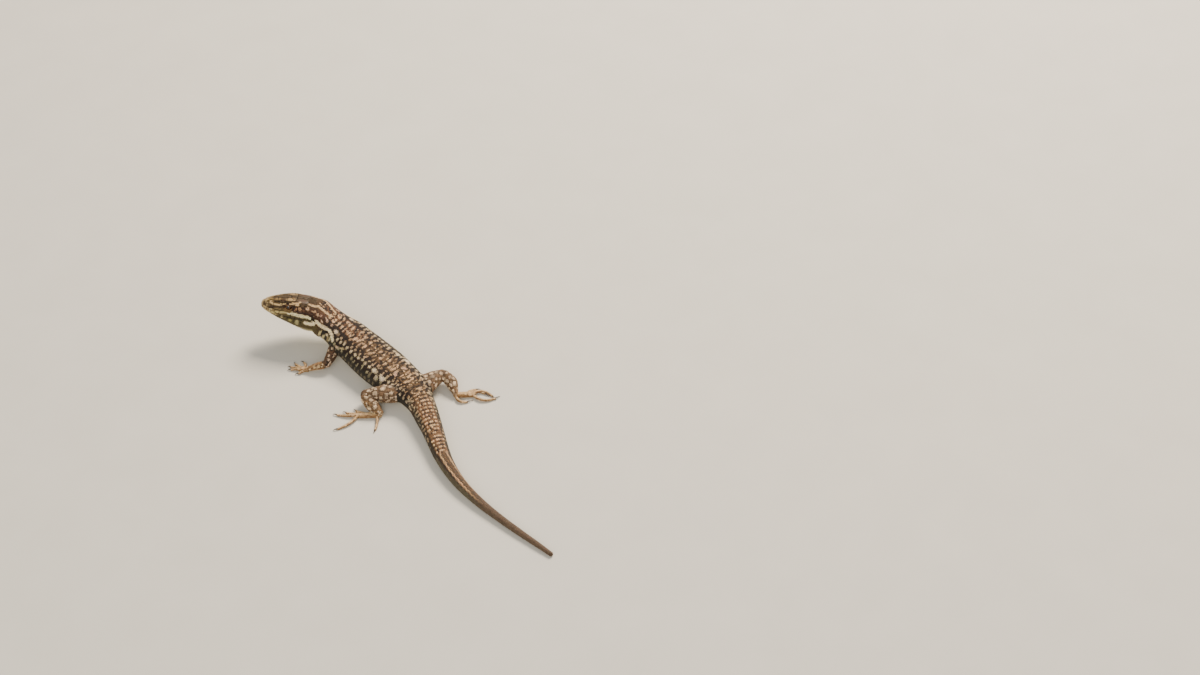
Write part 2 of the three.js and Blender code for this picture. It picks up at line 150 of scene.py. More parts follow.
HEAD_TIP = np.array([9.5, -64.7, 12.3])
HEAD_TURN, HEAD_RISE, HEAD_ROLL = 38, 9, 15   # degrees: to its left, raised, left side up

# Head: distance from the snout tip, half width at the jaw line, height above it, depth below
# it, squareness above and below, narrowing towards the crown.
HEAD_SECTIONS = [
    [1.0, 1.55, 1.35, 1.25, 2.5, 2.3, 0.10],
    [2.0, 2.20, 1.95, 1.75, 2.8, 2.3, 0.14],
    [4.2, 3.10, 2.85, 2.45, 3.2, 2.4, 0.20],
    [6.5, 3.95, 3.62, 3.05, 3.5, 2.5, 0.23],
    [8.8, 4.65, 4.12, 3.55, 3.6, 2.5, 0.24],
    [11.0, 5.15, 4.40, 4.10, 3.6, 2.5, 0.24],
    [13.2, 5.50, 4.50, 4.75, 3.4, 2.4, 0.22],
    [15.2, 5.65, 4.50, 5.35, 3.0, 2.3, 0.18],
    [16.8, 5.60, 4.45, 5.40, 2.6, 2.2, 0.14],
    [18.3, 5.45, 4.35, 5.05, 2.4, 2.2, 0.11],
]

# Neck to tail tip: x, y, z of the widest line's middle, half width, height above, depth below,
# squareness above and below, narrowing, roll in degrees.
TRUNK_SECTIONS = [
    [-2.4, -47.0, 8.2, 5.30, 4.00, 4.75, 2.2, 2.1, 0.08, 8],       # neck
    [-3.3, -42.3, 6.55, 5.75, 4.00, 4.70, 2.1, 2.1, 0.05, 3],      # shoulders
    [-3.8, -37.1, 5.2, 6.50, 4.15, 4.20, 2.1, 2.1, 0.04, 0],       # chest
    [-3.9, -29.0, 4.15, 7.20, 4.15, 3.90, 2.1, 2.2, 0.04, 0],      # middle of the trunk
    [-3.8, -21.7, 3.8, 7.20, 4.05, 3.90, 2.1, 2.2, 0.04, 0],       # belly
    [-3.9, -15.5, 3.65, 6.20, 3.90, 3.73, 2.1, 2.2, 0.03, 0],      # groin
    [-3.5, -10.8, 3.5, 5.30, 3.70, 3.58, 2.1, 2.2, 0.02, 0],       # hips
    [-1.8, -4.2, 3.2, 4.05, 3.30, 3.28, 2.1, 2.2, 0, 0],           # vent
    [1.2, 2.6, 2.9, 3.35, 2.95, 2.97, 2.1, 2.1, 0, 0],             # thick root of the tail
    [4.3, 8.9, 2.55, 2.90, 2.60, 2.61, 2.1, 2.1, 0, 0],
    [6.8, 13.9, 2.3, 2.55, 2.35, 2.36, 2.1, 2.1, 0, 0],            # old break
    [8.8, 18.9, 2.05, 2.20, 2.10, 2.11, 2.1, 2.1, 0, 0],
    [10.3, 24.2, 1.8, 1.92, 1.85, 1.86, 2, 2, 0, 0],
    [11.2, 29.8, 1.55, 1.65, 1.60, 1.61, 2, 2, 0, 0],
    [11.6, 36.7, 1.3, 1.36, 1.32, 1.35, 2, 2, 0, 0],
    [11.5, 44.3, 1.1, 1.12, 1.10, 1.15, 2, 2, 0, 0],
    [11.1, 52.0, 0.95, 0.97, 0.95, 1.00, 2, 2, 0, 0],
    [10.6, 59.0, 0.8, 0.82, 0.80, 0.85, 2, 2, 0, 0],
    [10.3, 63.4, 0.65, 0.66, 0.62, 0.69, 2, 2, 0, 0],              # blunt tip
]

# Swellings and hollows, alike on both flanks: distance from the snout, degrees round the
# section (0 side, 90 top), reach along, reach round in degrees, rise.
SWELLINGS = [
    (4.4, 46, 2.3, 14, 0.12),      # edge of the snout
    (6.1, 20, 1.4, 14, -0.22),     # hollow before the eye
    (9.0, 44, 2.8, 11, 0.22),      # brow
    (12.6, 26, 2.2, 16, -0.12),    # temple behind the eye
    (15.0, 4, 2.6, 22, 0.22),      # jaw muscle
    (7.0, 3, 5.2, 6, 0.10),        # upper lip
    (7.4, -16, 5.2, 9, 0.14),      # lower lip
    (19.8, 35, 1.5, 60, -0.15),    # nape behind the jaw
    (21.4, -55, 1.9, 34, 0.62),    # fold of the collar
    (28.9, 10, 3.4, 40, 0.30),     # shoulder
    (59.2, 10, 4.0, 40, 0.30),     # hip
    (71.2, -40, 4.0, 40, 0.25),    # swelling behind the vent
]
SNOUT_ROUND = 0.5                  # length of the rounding before the first section
COAT = 0.13                        # depth of the skin under the scales' tops
FLOOR_GAP = 0.11                   # height of the skin over the ground, as scales press flat there


def smooth(rows, s, column):
    """Value of a column at distance s, on a smooth curve through the rows."""
    x, y = rows[:, 0], rows[:, column]
    s = np.clip(s, x[0], x[-1])
    order = np.arange(len(x))
    before, after = np.maximum(order - 1, 0), np.minimum(order + 1, len(x) - 1)
    slope = (y[after] - y[before]) / (x[after] - x[before])
    i = np.clip(np.searchsorted(x, s, side="left") - 1, 0, len(x) - 2)
    span = x[i + 1] - x[i]
    t = (s - x[i]) / span
    return ((2 * t**3 - 3 * t**2 + 1) * y[i] + (t**3 - 2 * t**2 + t) * span * slope[i]
            + (3 * t**2 - 2 * t**3) * y[i + 1] + (t**3 - t**2) * span * slope[i + 1])


def measured(rows):
    """Rows [x, y, z, ...] with the distance along their path put in front."""
    rows = np.array(rows, float)
    steps = np.linalg.norm(np.diff(rows[:, :3], axis=0), axis=1)
    return np.column_stack([np.concatenate([[0], np.cumsum(steps)]), rows])


def unit(vectors):
    return vectors / np.maximum(np.linalg.norm(vectors, axis=-1, keepdims=True), 1e-9)


def track(rows, s, roll_column=None):
    """Middle, direction, side and top of the section at distance s."""
    def centre(d):
        return np.stack([smooth(rows, d, column) for column in (1, 2, 3)], -1)

    ahead, behind = np.minimum(s + 0.05, rows[-1, 0]), np.maximum(s - 0.05, rows[0, 0])
    along = unit(centre(ahead) - centre(behind))
    side = unit(np.cross(along, UP))
    top = np.cross(side, along)
    if roll_column:
        roll = np.radians(smooth(rows, s, roll_column))[..., None]
        side, top = side * np.cos(roll) + top * np.sin(roll), top * np.cos(roll) - side * np.sin(roll)
    return centre(s), along, side, top


turn, rise = math.radians(HEAD_TURN), math.radians(HEAD_RISE)
head_back = np.array([-math.sin(turn) * math.cos(rise), math.cos(turn) * math.cos(rise),
                      -math.sin(rise)])
ROLL_COLUMN = 10                   # of BODY, its first column being the distance
BODY = measured(
    [[*HEAD_TIP, 0.3, 0.3, 0.3, 2, 2, 0, HEAD_ROLL]]
    + [[*(HEAD_TIP + head_back * at), *sizes, HEAD_ROLL] for at, *sizes in HEAD_SECTIONS]
    + TRUNK_SECTIONS)[1:]
FIRST, LAST = BODY[0, 0], BODY[-1, 0]
TIP_ROUND = BODY[-1, 4]


def section(s, angle, depth=0.0):
    """How far out and how high the body's surface is at an angle in degrees, less a depth."""
    half, above, below, square_above, square_below, narrow = (smooth(BODY, s, i) for i in range(4, 10))
    flank = np.where((angle > 90) & (angle <= 270), 180 - angle, angle)
    flank = np.where(flank > 180, flank - 360, flank)
    swell = sum(lift * np.exp(-((s - at) / long) ** 2 - ((flank - place) / wide) ** 2)
                for at, place, long, wide, lift in SWELLINGS)
    c, d = np.cos(np.radians(angle)), np.sin(np.radians(angle))
    power = np.where(d >= 0, square_above, square_below)
    height = np.where(d >= 0, above, below)
    reach = (np.abs(c / half) ** power + np.abs(d / height) ** power) ** (-1 / power) + swell - depth
    return reach * c * (1 - narrow * np.maximum(0, reach * d / height)), reach * d


def body_point(s, angle, depth=0.0):
    """A point of the body's surface, rounded off past the snout and past the tail tip."""
    s, angle = np.broadcast_arrays(np.asarray(s, float), np.asarray(angle, float))
    inside = np.clip(s, FIRST, LAST)
    past = s - inside
    shrink = np.sqrt(np.clip(1 - (past / np.where(past < 0, SNOUT_ROUND, TIP_ROUND)) ** 2, 0, 1))
    middle, along, side, top = track(BODY, inside, ROLL_COLUMN)
    out, high = section(inside, angle, depth)
    return (middle + along * past[..., None]
            + side * (out * shrink)[..., None] + top * (high * shrink)[..., None])


def limb_point(path, s, angle, depth=0.0):
    """A point of a limb's or digit's surface, rounded off past both ends."""
    s, angle = np.broadcast_arrays(np.asarray(s, float), np.asarray(angle, float))
    inside = np.clip(s, 0, path[-1, 0])
    past = s - inside
    cap = np.where(past < 0, path[0, 4], path[-1, 4])
    shrink = np.sqrt(np.clip(1 - (past / cap) ** 2, 0, 1))
    middle, along, side, top = track(path, inside)
    out = (smooth(path, inside, 4) - depth) * shrink * np.cos(np.radians(angle))
    high = (smooth(path, inside, 5) - depth) * shrink * np.sin(np.radians(angle))
    return middle + along * past[..., None] + side * out[..., None] + top * high[..., None]


def seat(surface, s, angle, depth=0.0):
    """Place, direction towards the tail or claw, and outward direction, on a surface."""
    place = surface(s, angle, depth)
    lie = surface(s + 0.02, angle, depth) - surface(s - 0.02, angle, depth)
    across = surface(s, angle + 0.5, depth) - surface(s, angle - 0.5, depth)
    return place, unit(lie), unit(np.cross(lie, across))


# Arc lengths round the body: a table of angle against distance and share of the half girth, so
# that scales and markings can be set out in millimetres from the middle of the back.
TABLE_STEP = 0.25
TABLE_S = np.arange(FIRST - 0.45, LAST, TABLE_STEP)
TABLE_ANGLES = np.linspace(90, -90, 181)
TABLE_SHARES = np.linspace(0, 1, 181)
out, high = section(TABLE_S[:, None], TABLE_ANGLES[None, :])
ARCS = np.concatenate([np.zeros((len(TABLE_S), 1)),
                       np.cumsum(np.hypot(np.diff(out), np.diff(high)), axis=1)], axis=1)
ANGLES = np.array([np.interp(TABLE_SHARES * row[-1], row, TABLE_ANGLES) for row in ARCS])


def look_up(table, s, share):
    """Bilinear reading of a table over TABLE_S and a second axis that runs from 0 to 1."""
    u = np.clip((s - TABLE_S[0]) / TABLE_STEP, 0, len(TABLE_S) - 1.001)
    v = np.clip(share, 0, 1) * (table.shape[1] - 1.001)
    i, j = u.astype(int), v.astype(int)
    u, v = u - i, v - j
    return ((table[i, j] * (1 - v) + table[i, j + 1] * v) * (1 - u)
            + (table[i + 1, j] * (1 - v) + table[i + 1, j + 1] * v) * u)


def half_girth(s):
    return np.interp(s, TABLE_S, ARCS[:, -1])


def angle_at(s, arc, side):
    """Angle round the section, arc mm from the middle of the back on side 1 (left) or -1."""
    left = look_up(ANGLES, s, arc / half_girth(s))
    return np.where(side > 0, left, 180 - left)


def arc_at(s, angle):
    """Arc from the middle of the back and side, at an angle from -90 to 270."""
    side = np.where((angle > 90) & (angle < 270), -1, 1)
    left = np.where(side > 0, angle, 180 - angle)
    return look_up(ARCS, s, (90 - left) / 180), side


# Limbs: x, y, z, half width, half height of each segment's sections.
LIMBS = {
    "upper_arm_left": [[-1.0, -39.6, 5.2, 2.2, 2.2], [1.8, -39.4, 4.7, 1.95, 2.05],
                       [4.4, -38.6, 3.6, 1.6, 1.7], [6.4, -37.9, 2.7, 1.3, 1.35]],
    "forearm_left": [[6.9, -38.0, 2.5, 1.25, 1.3], [9.0, -39.6, 1.95, 1.2, 1.15],
                     [11.2, -41.5, 1.1, 0.8, 0.75]],
    "thigh_left": [[-2.0, -11.4, 3.7, 3.5, 3.0], [1.6, -13.5, 3.7, 3.1, 2.8],
                   [4.6, -16.0, 3.6, 2.45, 2.45], [7.3, -18.5, 3.4, 1.75, 1.8]],
    "shin_left": [[8.2, -17.5, 3.0, 1.75, 1.65], [8.3, -14.8, 2.45, 2.05, 1.8],
                  [8.1, -11.9, 1.5, 1.05, 1.0]],
    "upper_arm_right": [[-6.0, -40.4, 4.9, 2.1, 2.1], [-8.0, -39.3, 4.2, 1.9, 1.95],
                        [-9.6, -37.8, 2.8, 1.5, 1.5], [-10.6, -36.4, 1.75, 1.25, 1.25]],
    "forearm_right": [[-10.9, -36.5, 1.7, 1.2, 1.15], [-11.7, -39.2, 1.75, 1.15, 1.1],
                      [-11.5, -42.1, 1.1, 0.8, 0.75]],
    "thigh_right": [[-4.6, -9.6, 3.5, 4.0, 3.1], [-8.2, -9.4, 3.5, 3.4, 2.85],
                    [-11.5, -9.4, 3.4, 2.5, 2.5], [-14.2, -9.2, 3.2, 1.8, 1.8]],
    "shin_right": [[-15.0, -8.3, 3.0, 1.75, 1.7], [-14.8, -5.4, 2.35, 1.9, 1.75],
                   [-13.4, -2.3, 1.4, 1.0, 0.95]],
}

# Hands and feet: half thickness of the palm or sole and of a digit, length of a claw; side, heel,
# direction in degrees from straight ahead outwards, length and half width. Digits, thumb first:
# root as a share of the length, its offset outwards, own direction, length, sideways bow.
FOREFOOT, HINDFOOT = (0.72, 0.44, 0.95), (0.78, 0.47, 1.15)
ENDS = {
    "hand_left": (FOREFOOT, 1, [11.3, -41.6], 30, 2.2, 1.1, [
        [0.55, -0.80, -62, 2.6, -0.4], [0.85, -0.50, -26, 3.2, 0.2], [1.0, -0.1, -2, 3.4, 0.1],
        [0.95, 0.4, 10, 3.1, -0.1], [0.55, 0.85, 46, 1.5, 0.1]]),
    "hand_right": (FOREFOOT, -1, [-11.3, -42.4], -6, 2.2, 1.1, [
        [0.55, -0.80, -50, 2.6, -0.3], [0.85, -0.50, -22, 3.3, 0.2], [1.0, -0.1, -2, 3.7, 0.1],
        [0.95, 0.4, 12, 3.5, -0.1], [0.55, 0.85, 38, 2.0, 0.1]]),
    "foot_left": (HINDFOOT, 1, [8.2, -11.3], 46, 6.9, 1.05, [
        [0.72, -0.75, -30, 3.0, 0.2], [0.85, -0.5, -13, 4.7, 0.3], [0.97, -0.15, -5, 6.6, 0.4],
        [1.0, 0.35, 40, 7.6, 0.7], [0.16, 0.7, 86, 5.2, 0.3]]),
    "foot_right": (HINDFOOT, -1, [-12.9, -1.9], 129, 5.6, 1.05, [
        [0.70, -0.75, -28, 3.0, -0.2], [0.82, -0.55, 6, 4.6, -0.8], [0.92, -0.3, 15, 6.4, -1.5],
        [0.95, 0.4, 14, 7.0, 1.5], [0.05, 0.6, 32, 4.0, 1.0]]),
}


def compass(degrees, side):
    """Direction along the ground, in degrees from straight ahead towards one side."""
    turned = math.radians(degrees)
    return np.array([side * math.sin(turned), -math.cos(turned)])


limb_paths = {name: measured(rows) for name, rows in LIMBS.items()}
palm_paths, digit_paths, claw_paths = {}, {}, {}
for name, ((thick, digit, claw), side, heel, aim, length, half, digits) in ENDS.items():
    ahead, out = compass(aim, side), compass(aim + 90, side)
    palm_paths[name] = measured([
        [*(np.array(heel) + ahead * share * length), thick * low, half * across, thick * high]
        for share, low, across, high in [(0.05, 1.15, 0.8, 1.15), (0.5, 0.95, 0.95, 1.1),
                                         (0.92, 0.76, 1.0, 0.95)]])
    for number, (share, offset, own, reach, bow) in enumerate(digits, 1):
        root = np.array(heel) + ahead * share * length + out * offset
        toward, aside = compass(aim + own, side), compass(aim + own + 90, side)
        tip = 1 + claw / reach
        claw_at = 1 + (tip - 1) * 0.55

        def along_digit(rows):
            return measured([[*(root + toward * reach * t + aside * bow * 4 * t * (1 - t)), z, wide, tall]
                             for t, z, wide, tall in rows])

        digit_paths[f"{name}_{number}"] = along_digit([
            (-0.08, thick * 0.8, digit, digit), (0.3, digit * 1.45, digit, digit),
            (0.62, digit * 1.15, digit * 0.88, digit * 0.88),
            (0.93, digit * 0.7, digit * 0.75, digit * 0.75),
            (1.0, digit * 0.8, digit * 0.52, digit * 0.56)])
        claw_paths[f"{name}_{number}"] = along_digit([
            (0.93, digit * 0.80, 0.13, 0.22), (1.0, digit * 1.0, 0.15, 0.25),
            (claw_at, digit * 0.85, 0.09, 0.17), ((claw_at + 2 * tip) / 3, digit * 0.50, 0.055, 0.10),
            (tip, 0.10, 0.025, 0.04)])

# ---------------------------------------------------------------- the skin
# Soft hide under the scales, seen only as dark seams between them, in the eye sockets, the ear
# and the slit of the mouth. Body, limbs and palms are one closed surface; the digits are set in.

SKIN_GRAIN = 0.27              # size of the grid that the lofts are fused on
EYE = {"at": 9.2, "out": 2.5, "up": 2.1, "radius": 1.2}
EAR = {"at": 17.3, "out": 5.4, "up": 0.9, "long": 0.7, "high": 1.05, "deep": 0.9}
NOSTRIL = {"at": 1.7, "out": 1.85, "up": 0.95, "radius": 0.26}
MOUTH = np.array([[0.5, -0.3], [1.2, -0.3], [4.0, -0.2], [7.0, -0.45], [10.0, -0.5], [12.4, -0.25],
                  [14.2, 0.15]])      # from the snout back, height over the jaw line
DIGIT_COAT = 0.09                     # depth of the skin under the small scales of the digits


def object_of(name, points, faces):
    """A mesh object from points in millimetres."""
    mesh = bpy.data.meshes.new(name)
    mesh.from_pydata(((np.asarray(points) - MIDDLE) * MM).tolist(), [],
                     [list(map(int, face)) for face in faces])
    mesh.polygons.foreach_set("use_smooth", [True] * len(mesh.polygons))
    return placed(name, mesh)


def walls(rings, sides, wrapped=False):
    """Faces between rings of points that follow one another, the last joined to the first or not."""
    return [(r * sides + k, (r + 1) % rings * sides + k,
             (r + 1) % rings * sides + (k + 1) % sides, r * sides + (k + 1) % sides)
            for r in range(rings if wrapped else rings - 1) for k in range(sides)]


def closed_faces(rings, sides, first_pole, last_pole):
    """Faces of rings of points closed at both ends by a pole."""
    end = (rings - 1) * sides
    return ([(first_pole, k, (k + 1) % sides) for k in range(sides)]
            + [(last_pole, end + (k + 1) % sides, end + k) for k in range(sides)] + walls(rings, sides))


def flipped(faces):
    """The faces seen from behind, each from the same corner on."""
    return [(face[0], *face[:0:-1]) for face in faces]


def closed_tube(surface, first, last, round_first, round_last, pitch, sides, depth=0.0):
    """Points and faces of a surface from end to end, with a pole at each."""
    bends = np.radians([72, 54, 36, 18])
    count = max(2, round((last - first) / pitch))
    stations = np.concatenate([first - round_first * np.sin(bends), np.linspace(first, last, count + 1),
                               last + round_last * np.sin(bends[::-1])])
    angles = np.arange(sides) * 360 / sides
    rings = surface(stations[:, None], angles[None, :], depth).reshape(-1, 3)
    points = np.vstack([rings, surface(first - round_first, 0.0), surface(last + round_last, 0.0)])
    return points, closed_faces(len(stations), sides, len(points) - 2, len(points) - 1)


def joined(pieces):
    """Several sets of points and faces as one."""
    points, faces, count = [], [], 0
    for some, theirs in pieces:
        points.append(some)
        faces += [tuple(i + count for i in face) for face in theirs]
        count += len(some)
    return np.vstack(points), faces


def settled(thing):
    """The object's mesh with its modifiers worked in, and the modifiers removed."""
    graph = bpy.context.evaluated_depsgraph_get()
    mesh = bpy.data.meshes.new_from_object(thing.evaluated_get(graph))
    thing.modifiers.clear()
    old, thing.data = thing.data, mesh
    bpy.data.meshes.remove(old)
    return mesh


def limb_surface(path):
    return lambda s, angle, depth=0.0: limb_point(path, s, angle, depth)


def limb_tube(path, pitch, sides, depth=0.0):
    """Points and faces of a limb, palm, digit or claw."""
    return closed_tube(limb_surface(path), 0, path[-1, 0], path[0, 4], path[-1, 4], pitch, sides, depth)


def under_plates(s, angle, depth=0.0):
    """The body's surface, 0.05 deeper on the head, whose plates are thicker."""
    return body_point(s, angle, depth + 0.05 * np.clip((20 - s) / 3, 0, 1))


body_tube = closed_tube(under_plates, FIRST, LAST, SNOUT_ROUND, TIP_ROUND, 0.4, 90, COAT)
limb_tubes = [limb_tube(path, 0.4, 32, COAT) for path in [*limb_paths.values(), *palm_paths.values()]]
skin = object_of("skin", *joined([body_tube, *limb_tubes]))
fusing = skin.modifiers.new("fusing", "REMESH")
fusing.mode = "VOXEL"
fusing.voxel_size = SKIN_GRAIN * MM
settled(skin)

# The grid's steps are eased everywhere, and the roots of the limbs are rounded into the body.


def points_of(thing):
    """An object's points in millimetres."""
    return np.array([v.co for v in thing.data.vertices]) / MM + MIDDLE


points = points_of(skin)
edges = np.array([e.vertices[:] for e in skin.data.edges])
body_tree = BVHTree.FromPolygons(body_tube[0].tolist(), body_tube[1])
limb_tree = BVHTree.FromPolygons(*joined(limb_tubes[:len(limb_paths)]))
nearness = np.array([[tree.find_nearest(spot)[3] for tree in (body_tree, limb_tree)]
                     for spot in points.tolist()])
crease = np.clip(1.4 - nearness.max(axis=1) / 0.9, 0, 1)
links = np.bincount(edges.ravel(), minlength=len(points))
for strength in [0.5] * 3 + [0.6 * crease[:, None]] * 19:
    mean = np.stack([np.bincount(edges.ravel(), points[edges[:, ::-1].ravel(), axis], len(points))
                     for axis in range(3)], -1) / links[:, None]
    points = points + strength * (mean - points)
points[:, 2] = np.maximum(points[:, 2], FLOOR_GAP)
skin.data.vertices.foreach_set("co", ((points - MIDDLE) * MM).ravel())


# The head's own frame: at from the snout, out to one side and up.
_, head_along, head_side, head_top = (v[0] for v in track(BODY, np.array([8.0]), ROLL_COLUMN))


def head_point(at, out, up):
    at, out, up = (np.asarray(v, float)[..., None] for v in (at, out, up))
    return HEAD_TIP + head_along * at + head_side * out + head_top * up


def ball(centre, long, wide, high, rows=24, columns=32):
    """An ellipsoid in the head's frame, its poles at the sides."""
    turns, tilts = np.arange(columns) * 2 * np.pi / columns, np.linspace(0, np.pi, rows + 1)[1:-1]
    t, f = np.meshgrid(tilts, turns, indexing="ij")
    at, out, up = centre
    rings = head_point(at + long * np.sin(t) * np.cos(f), out - wide * np.cos(t),
                       up + high * np.sin(t) * np.sin(f))
    points = np.vstack([rings.reshape(-1, 3), head_point(at, out - wide, up), head_point(at, out + wide, up)])
    return points, flipped(closed_faces(rows - 1, columns, len(points) - 2, len(points) - 1))


def find_angle(s, value, measure, low, high):
    """The angle from low to high where a falling measure of the section passes a value."""
    low, high = np.full(np.shape(value), float(low)), np.full(np.shape(value), float(high))
    for _ in range(20):
        middle = (low + high) / 2
        beyond = measure(s, middle) > value
        low, high = np.where(beyond, middle, low), np.where(beyond, high, middle)
    return (low + high) / 2


def crown(at, out):
    """Angle on the top of the head, out mm to the left of its middle (negative to the right)."""
    left = find_angle(at, np.abs(out), lambda s, a: section(s, a)[0], 8, 90)
    return np.where(out >= 0, left, 180 - left)


def chin(at, out):
    """Angle on the underside of the head."""
    left = find_angle(at, np.abs(out), lambda s, a: section(s, -a)[0], 8, 90)
    return np.where(out >= 0, -left, 180 + left)


def cheek(at, up):
    """Angle on the left of the head at a height over the jaw line."""
    return find_angle(at, up, lambda s, a: section(s, a)[1], 90, -90)


def lip(at):
    """Height of the line of the mouth."""
    return np.interp(at, MOUTH[:, 0], MOUTH[:, 1])


def mouth_slit(half_height, inward, outward):
    """A thin blade along the line of the mouth, from one corner round the snout to the other."""
    at = np.linspace(MOUTH[-1, 0], FIRST, 40)
    angle = cheek(at, lip(at))
    under = np.linspace(angle[-1], -90, 9)[1:]
    shrink = MOUTH[0, 1] / section(FIRST, under)[1]
    at = np.concatenate([at, FIRST - SNOUT_ROUND * np.sqrt(1 - shrink**2)])
    angle = np.concatenate([angle, under])
    at, angle = np.concatenate([at, at[-2::-1]]), np.concatenate([angle, 180 - angle[-2::-1]])
    place, _, out = seat(body_point, at, angle)
    ahead = place - head_point(FIRST + 0.6, 0, MOUTH[0, 1])      # round the tip of the snout
    out = np.where((at < FIRST - 0.001)[:, None], unit(ahead), out)
    out = unit(out - head_top * (out @ head_top)[:, None])
    corners = [(-inward, -1), (outward, -1), (outward, 1), (-inward, 1)]
    rings = np.stack([place + out * reach + head_top * half_height * lift for reach, lift in corners], 1)
    ends = [(0, 1, 2, 3), tuple(4 * len(rings) - k for k in (1, 2, 3, 4))]
    return rings.reshape(-1, 3), ends + walls(len(rings), 4)


def place_of(organ, side, further=0.0):
    """Place of an eye, ear or nostril in the head's frame."""
    return organ["at"], side * (organ["out"] + further), organ["up"]


skin_cutters = [mouth_slit(0.07, 0.5, 0.4)]
socket, hole = EYE["radius"] + 0.06, NOSTRIL["radius"]
for side in (1, -1):
    skin_cutters += [ball(place_of(EYE, side), socket, socket, socket),
                     ball(place_of(EYE, side, 1.5), 1.3, 1.3, 1.0),
                     ball(place_of(EAR, side), EAR["long"], EAR["deep"], EAR["high"]),
                     ball(place_of(NOSTRIL, side), hole, hole * 1.8, hole, 12, 16)]
for points, faces in skin_cutters:
    cutter = object_of("cutter", points, faces)
    cut = skin.modifiers.new("cut", "BOOLEAN")
    cut.operation, cut.solver, cut.object = "DIFFERENCE", "MANIFOLD", cutter
    settled(skin)
    bpy.data.objects.remove(cutter)

flesh, flesh_faces = points_of(skin), [tuple(face.vertices) for face in skin.data.polygons]
skin_tree = BVHTree.FromPolygons(flesh.tolist(), flesh_faces)
bpy.data.objects.remove(skin)
digit_tubes = [limb_tube(path, 0.3, 14, DIGIT_COAT) for path in digit_paths.values()]
skin = object_of("skin", *joined([(flesh, flesh_faces), *digit_tubes]))

# ---------------------------------------------------------------- the markings
# Pigment cells in and under the scales: a warm brown back broken by dark cross-scribbles, a pale
# stripe on the lip and from under the ear to the shoulder, and a nearly black flank with pale
# spots. Given for a distance s from the snout and an arc y down from the middle of the back.


def laid(colour, mask, code):
    """Colours with another laid over them where the mask is 1."""
    return colour + (tint(code) - colour) * np.clip(mask, 0, 1)[:, None]


def ramp(x, low, high):
    t = np.clip((x - low) / (high - low), 0, 1)
    return t * t * (3 - 2 * t)


def blot(s, y, at, down, long, wide, tilt=0.0, soft=0.5):
    """Mask of an oval, tilt degrees from lengthwise."""
    c, d = math.cos(math.radians(tilt)), math.sin(math.radians(tilt))
    u, v = s - at, y - down
    return np.clip((1 + soft / 2 - np.hypot((u * c + v * d) / long, (v * c - u * d) / wide)) / soft, 0, 1)


def stroke(s, y, path, half_width, soft=0.25):
    """Mask of a line through points (s, y)."""
    nearest = np.full(len(s), 99.0)
    for (s0, y0), (s1, y1) in zip(path, path[1:]):
        run_s, run_y = s1 - s0, y1 - y0
        t = np.clip(((s - s0) * run_s + (y - y0) * run_y) / (run_s**2 + run_y**2), 0, 1)
        nearest = np.minimum(nearest, np.hypot(s - s0 - t * run_s, y - y0 - t * run_y))
    return np.clip((half_width + soft / 2 - nearest) / soft, 0, 1)


OLD_BREAK = 88.0               # where the tail once broke off and grew again

# Rows of marks along each side: first and last distance, arc from the back's middle, pitch,
# half length, half width, tilt, looseness of their places, colour. Later rows lie over earlier.
MARK_ROWS = [
    (22.6, 64.0, 1.10, 1.62, 0.40, 0.95, 14, 0.22, "#dab388"),    # tan bars across the back
    (24.0, 37.0, 1.30, 1.25, 0.40, 0.80, 10, 0.28, "#ddb790"),
    (18.4, 64.0, 1.20, 1.62, 0.34, 1.15, 14, 0.22, "#190d06"),    # dark scribbles between them
    (22.0, 64.0, 0.00, 1.62, 0.36, 0.28, 30, 0.30, "#2f1c0e"),
    (19.3, 64.0, 0.70, 0.93, 0.22, 0.32, 20, 0.42, "#1f1208"),    # and small flecks of both
    (19.8, 64.0, 1.45, 1.07, 0.24, 0.34, 20, 0.40, "#1f1208"),
    (18.2, 64.0, 0.90, 1.21, 0.22, 0.26, 20, 0.36, "#d8b389"),
    (33.5, 64.0, 2.90, 1.75, 0.30, 0.42, 20, 0.18, "#b8946c"),    # flecks at the back's edge
    (28.6, 60.0, 3.95, 2.15, 0.36, 0.44, 10, 0.14, "#c4a580"),    # spots on the upper flank
    (29.5, 58.0, 5.10, 1.75, 0.46, 0.54, 0, 0.10, "#dbc39b"),     # and in a row along the flank
    (57.6, 68.5, 3.70, 1.50, 0.36, 0.50, 30, 0.20, "#c3a784"),    # over the hip
    (58.9, 67.0, 5.20, 1.60, 0.40, 0.46, 20, 0.20, "#c9b391"),
    (28.0, 55.0, 6.90, 1.95, 0.38, 0.70, 8, 0.18, "#9d9170"),
    (26.5, 58.0, 8.90, 1.60, 0.34, 0.80, 12, 0.15, "#6b614a"),    # towards the belly
    (64.9, OLD_BREAK, 0.95, 1.40, 0.30, 0.62, 6, 0.14, "#2a190c"),   # broken cross-bars on the tail
    (65.0, OLD_BREAK, 0.00, 1.40, 0.28, 0.50, 6, 0.16, "#2f1d0f"),
    (64.2, OLD_BREAK, 0.28, 1.40, 0.28, 0.50, 4, 0.10, "#cca57c"),
    (64.3, OLD_BREAK, 1.62, 1.40, 0.29, 0.44, 16, 0.10, "#cba57c"),
    (64.9, 84.0, 2.45, 1.40, 0.28, 0.46, 20, 0.14, "#35230f"),
    (64.6, 84.0, 2.95, 1.40, 0.30, 0.40, 20, 0.12, "#bd9e78"),
    (64.0, 84.0, 4.10, 1.45, 0.26, 0.80, 30, 0.15, "#7f745c"),
    (89.0, 128.0, 0.35, 1.10, 0.34, 0.28, 0, 0.30, "#1d120b"),    # flecks on the regrown tail
    (88.4, 120.0, 0.55, 1.50, 0.34, 0.24, 0, 0.30, "#86633f"),
]


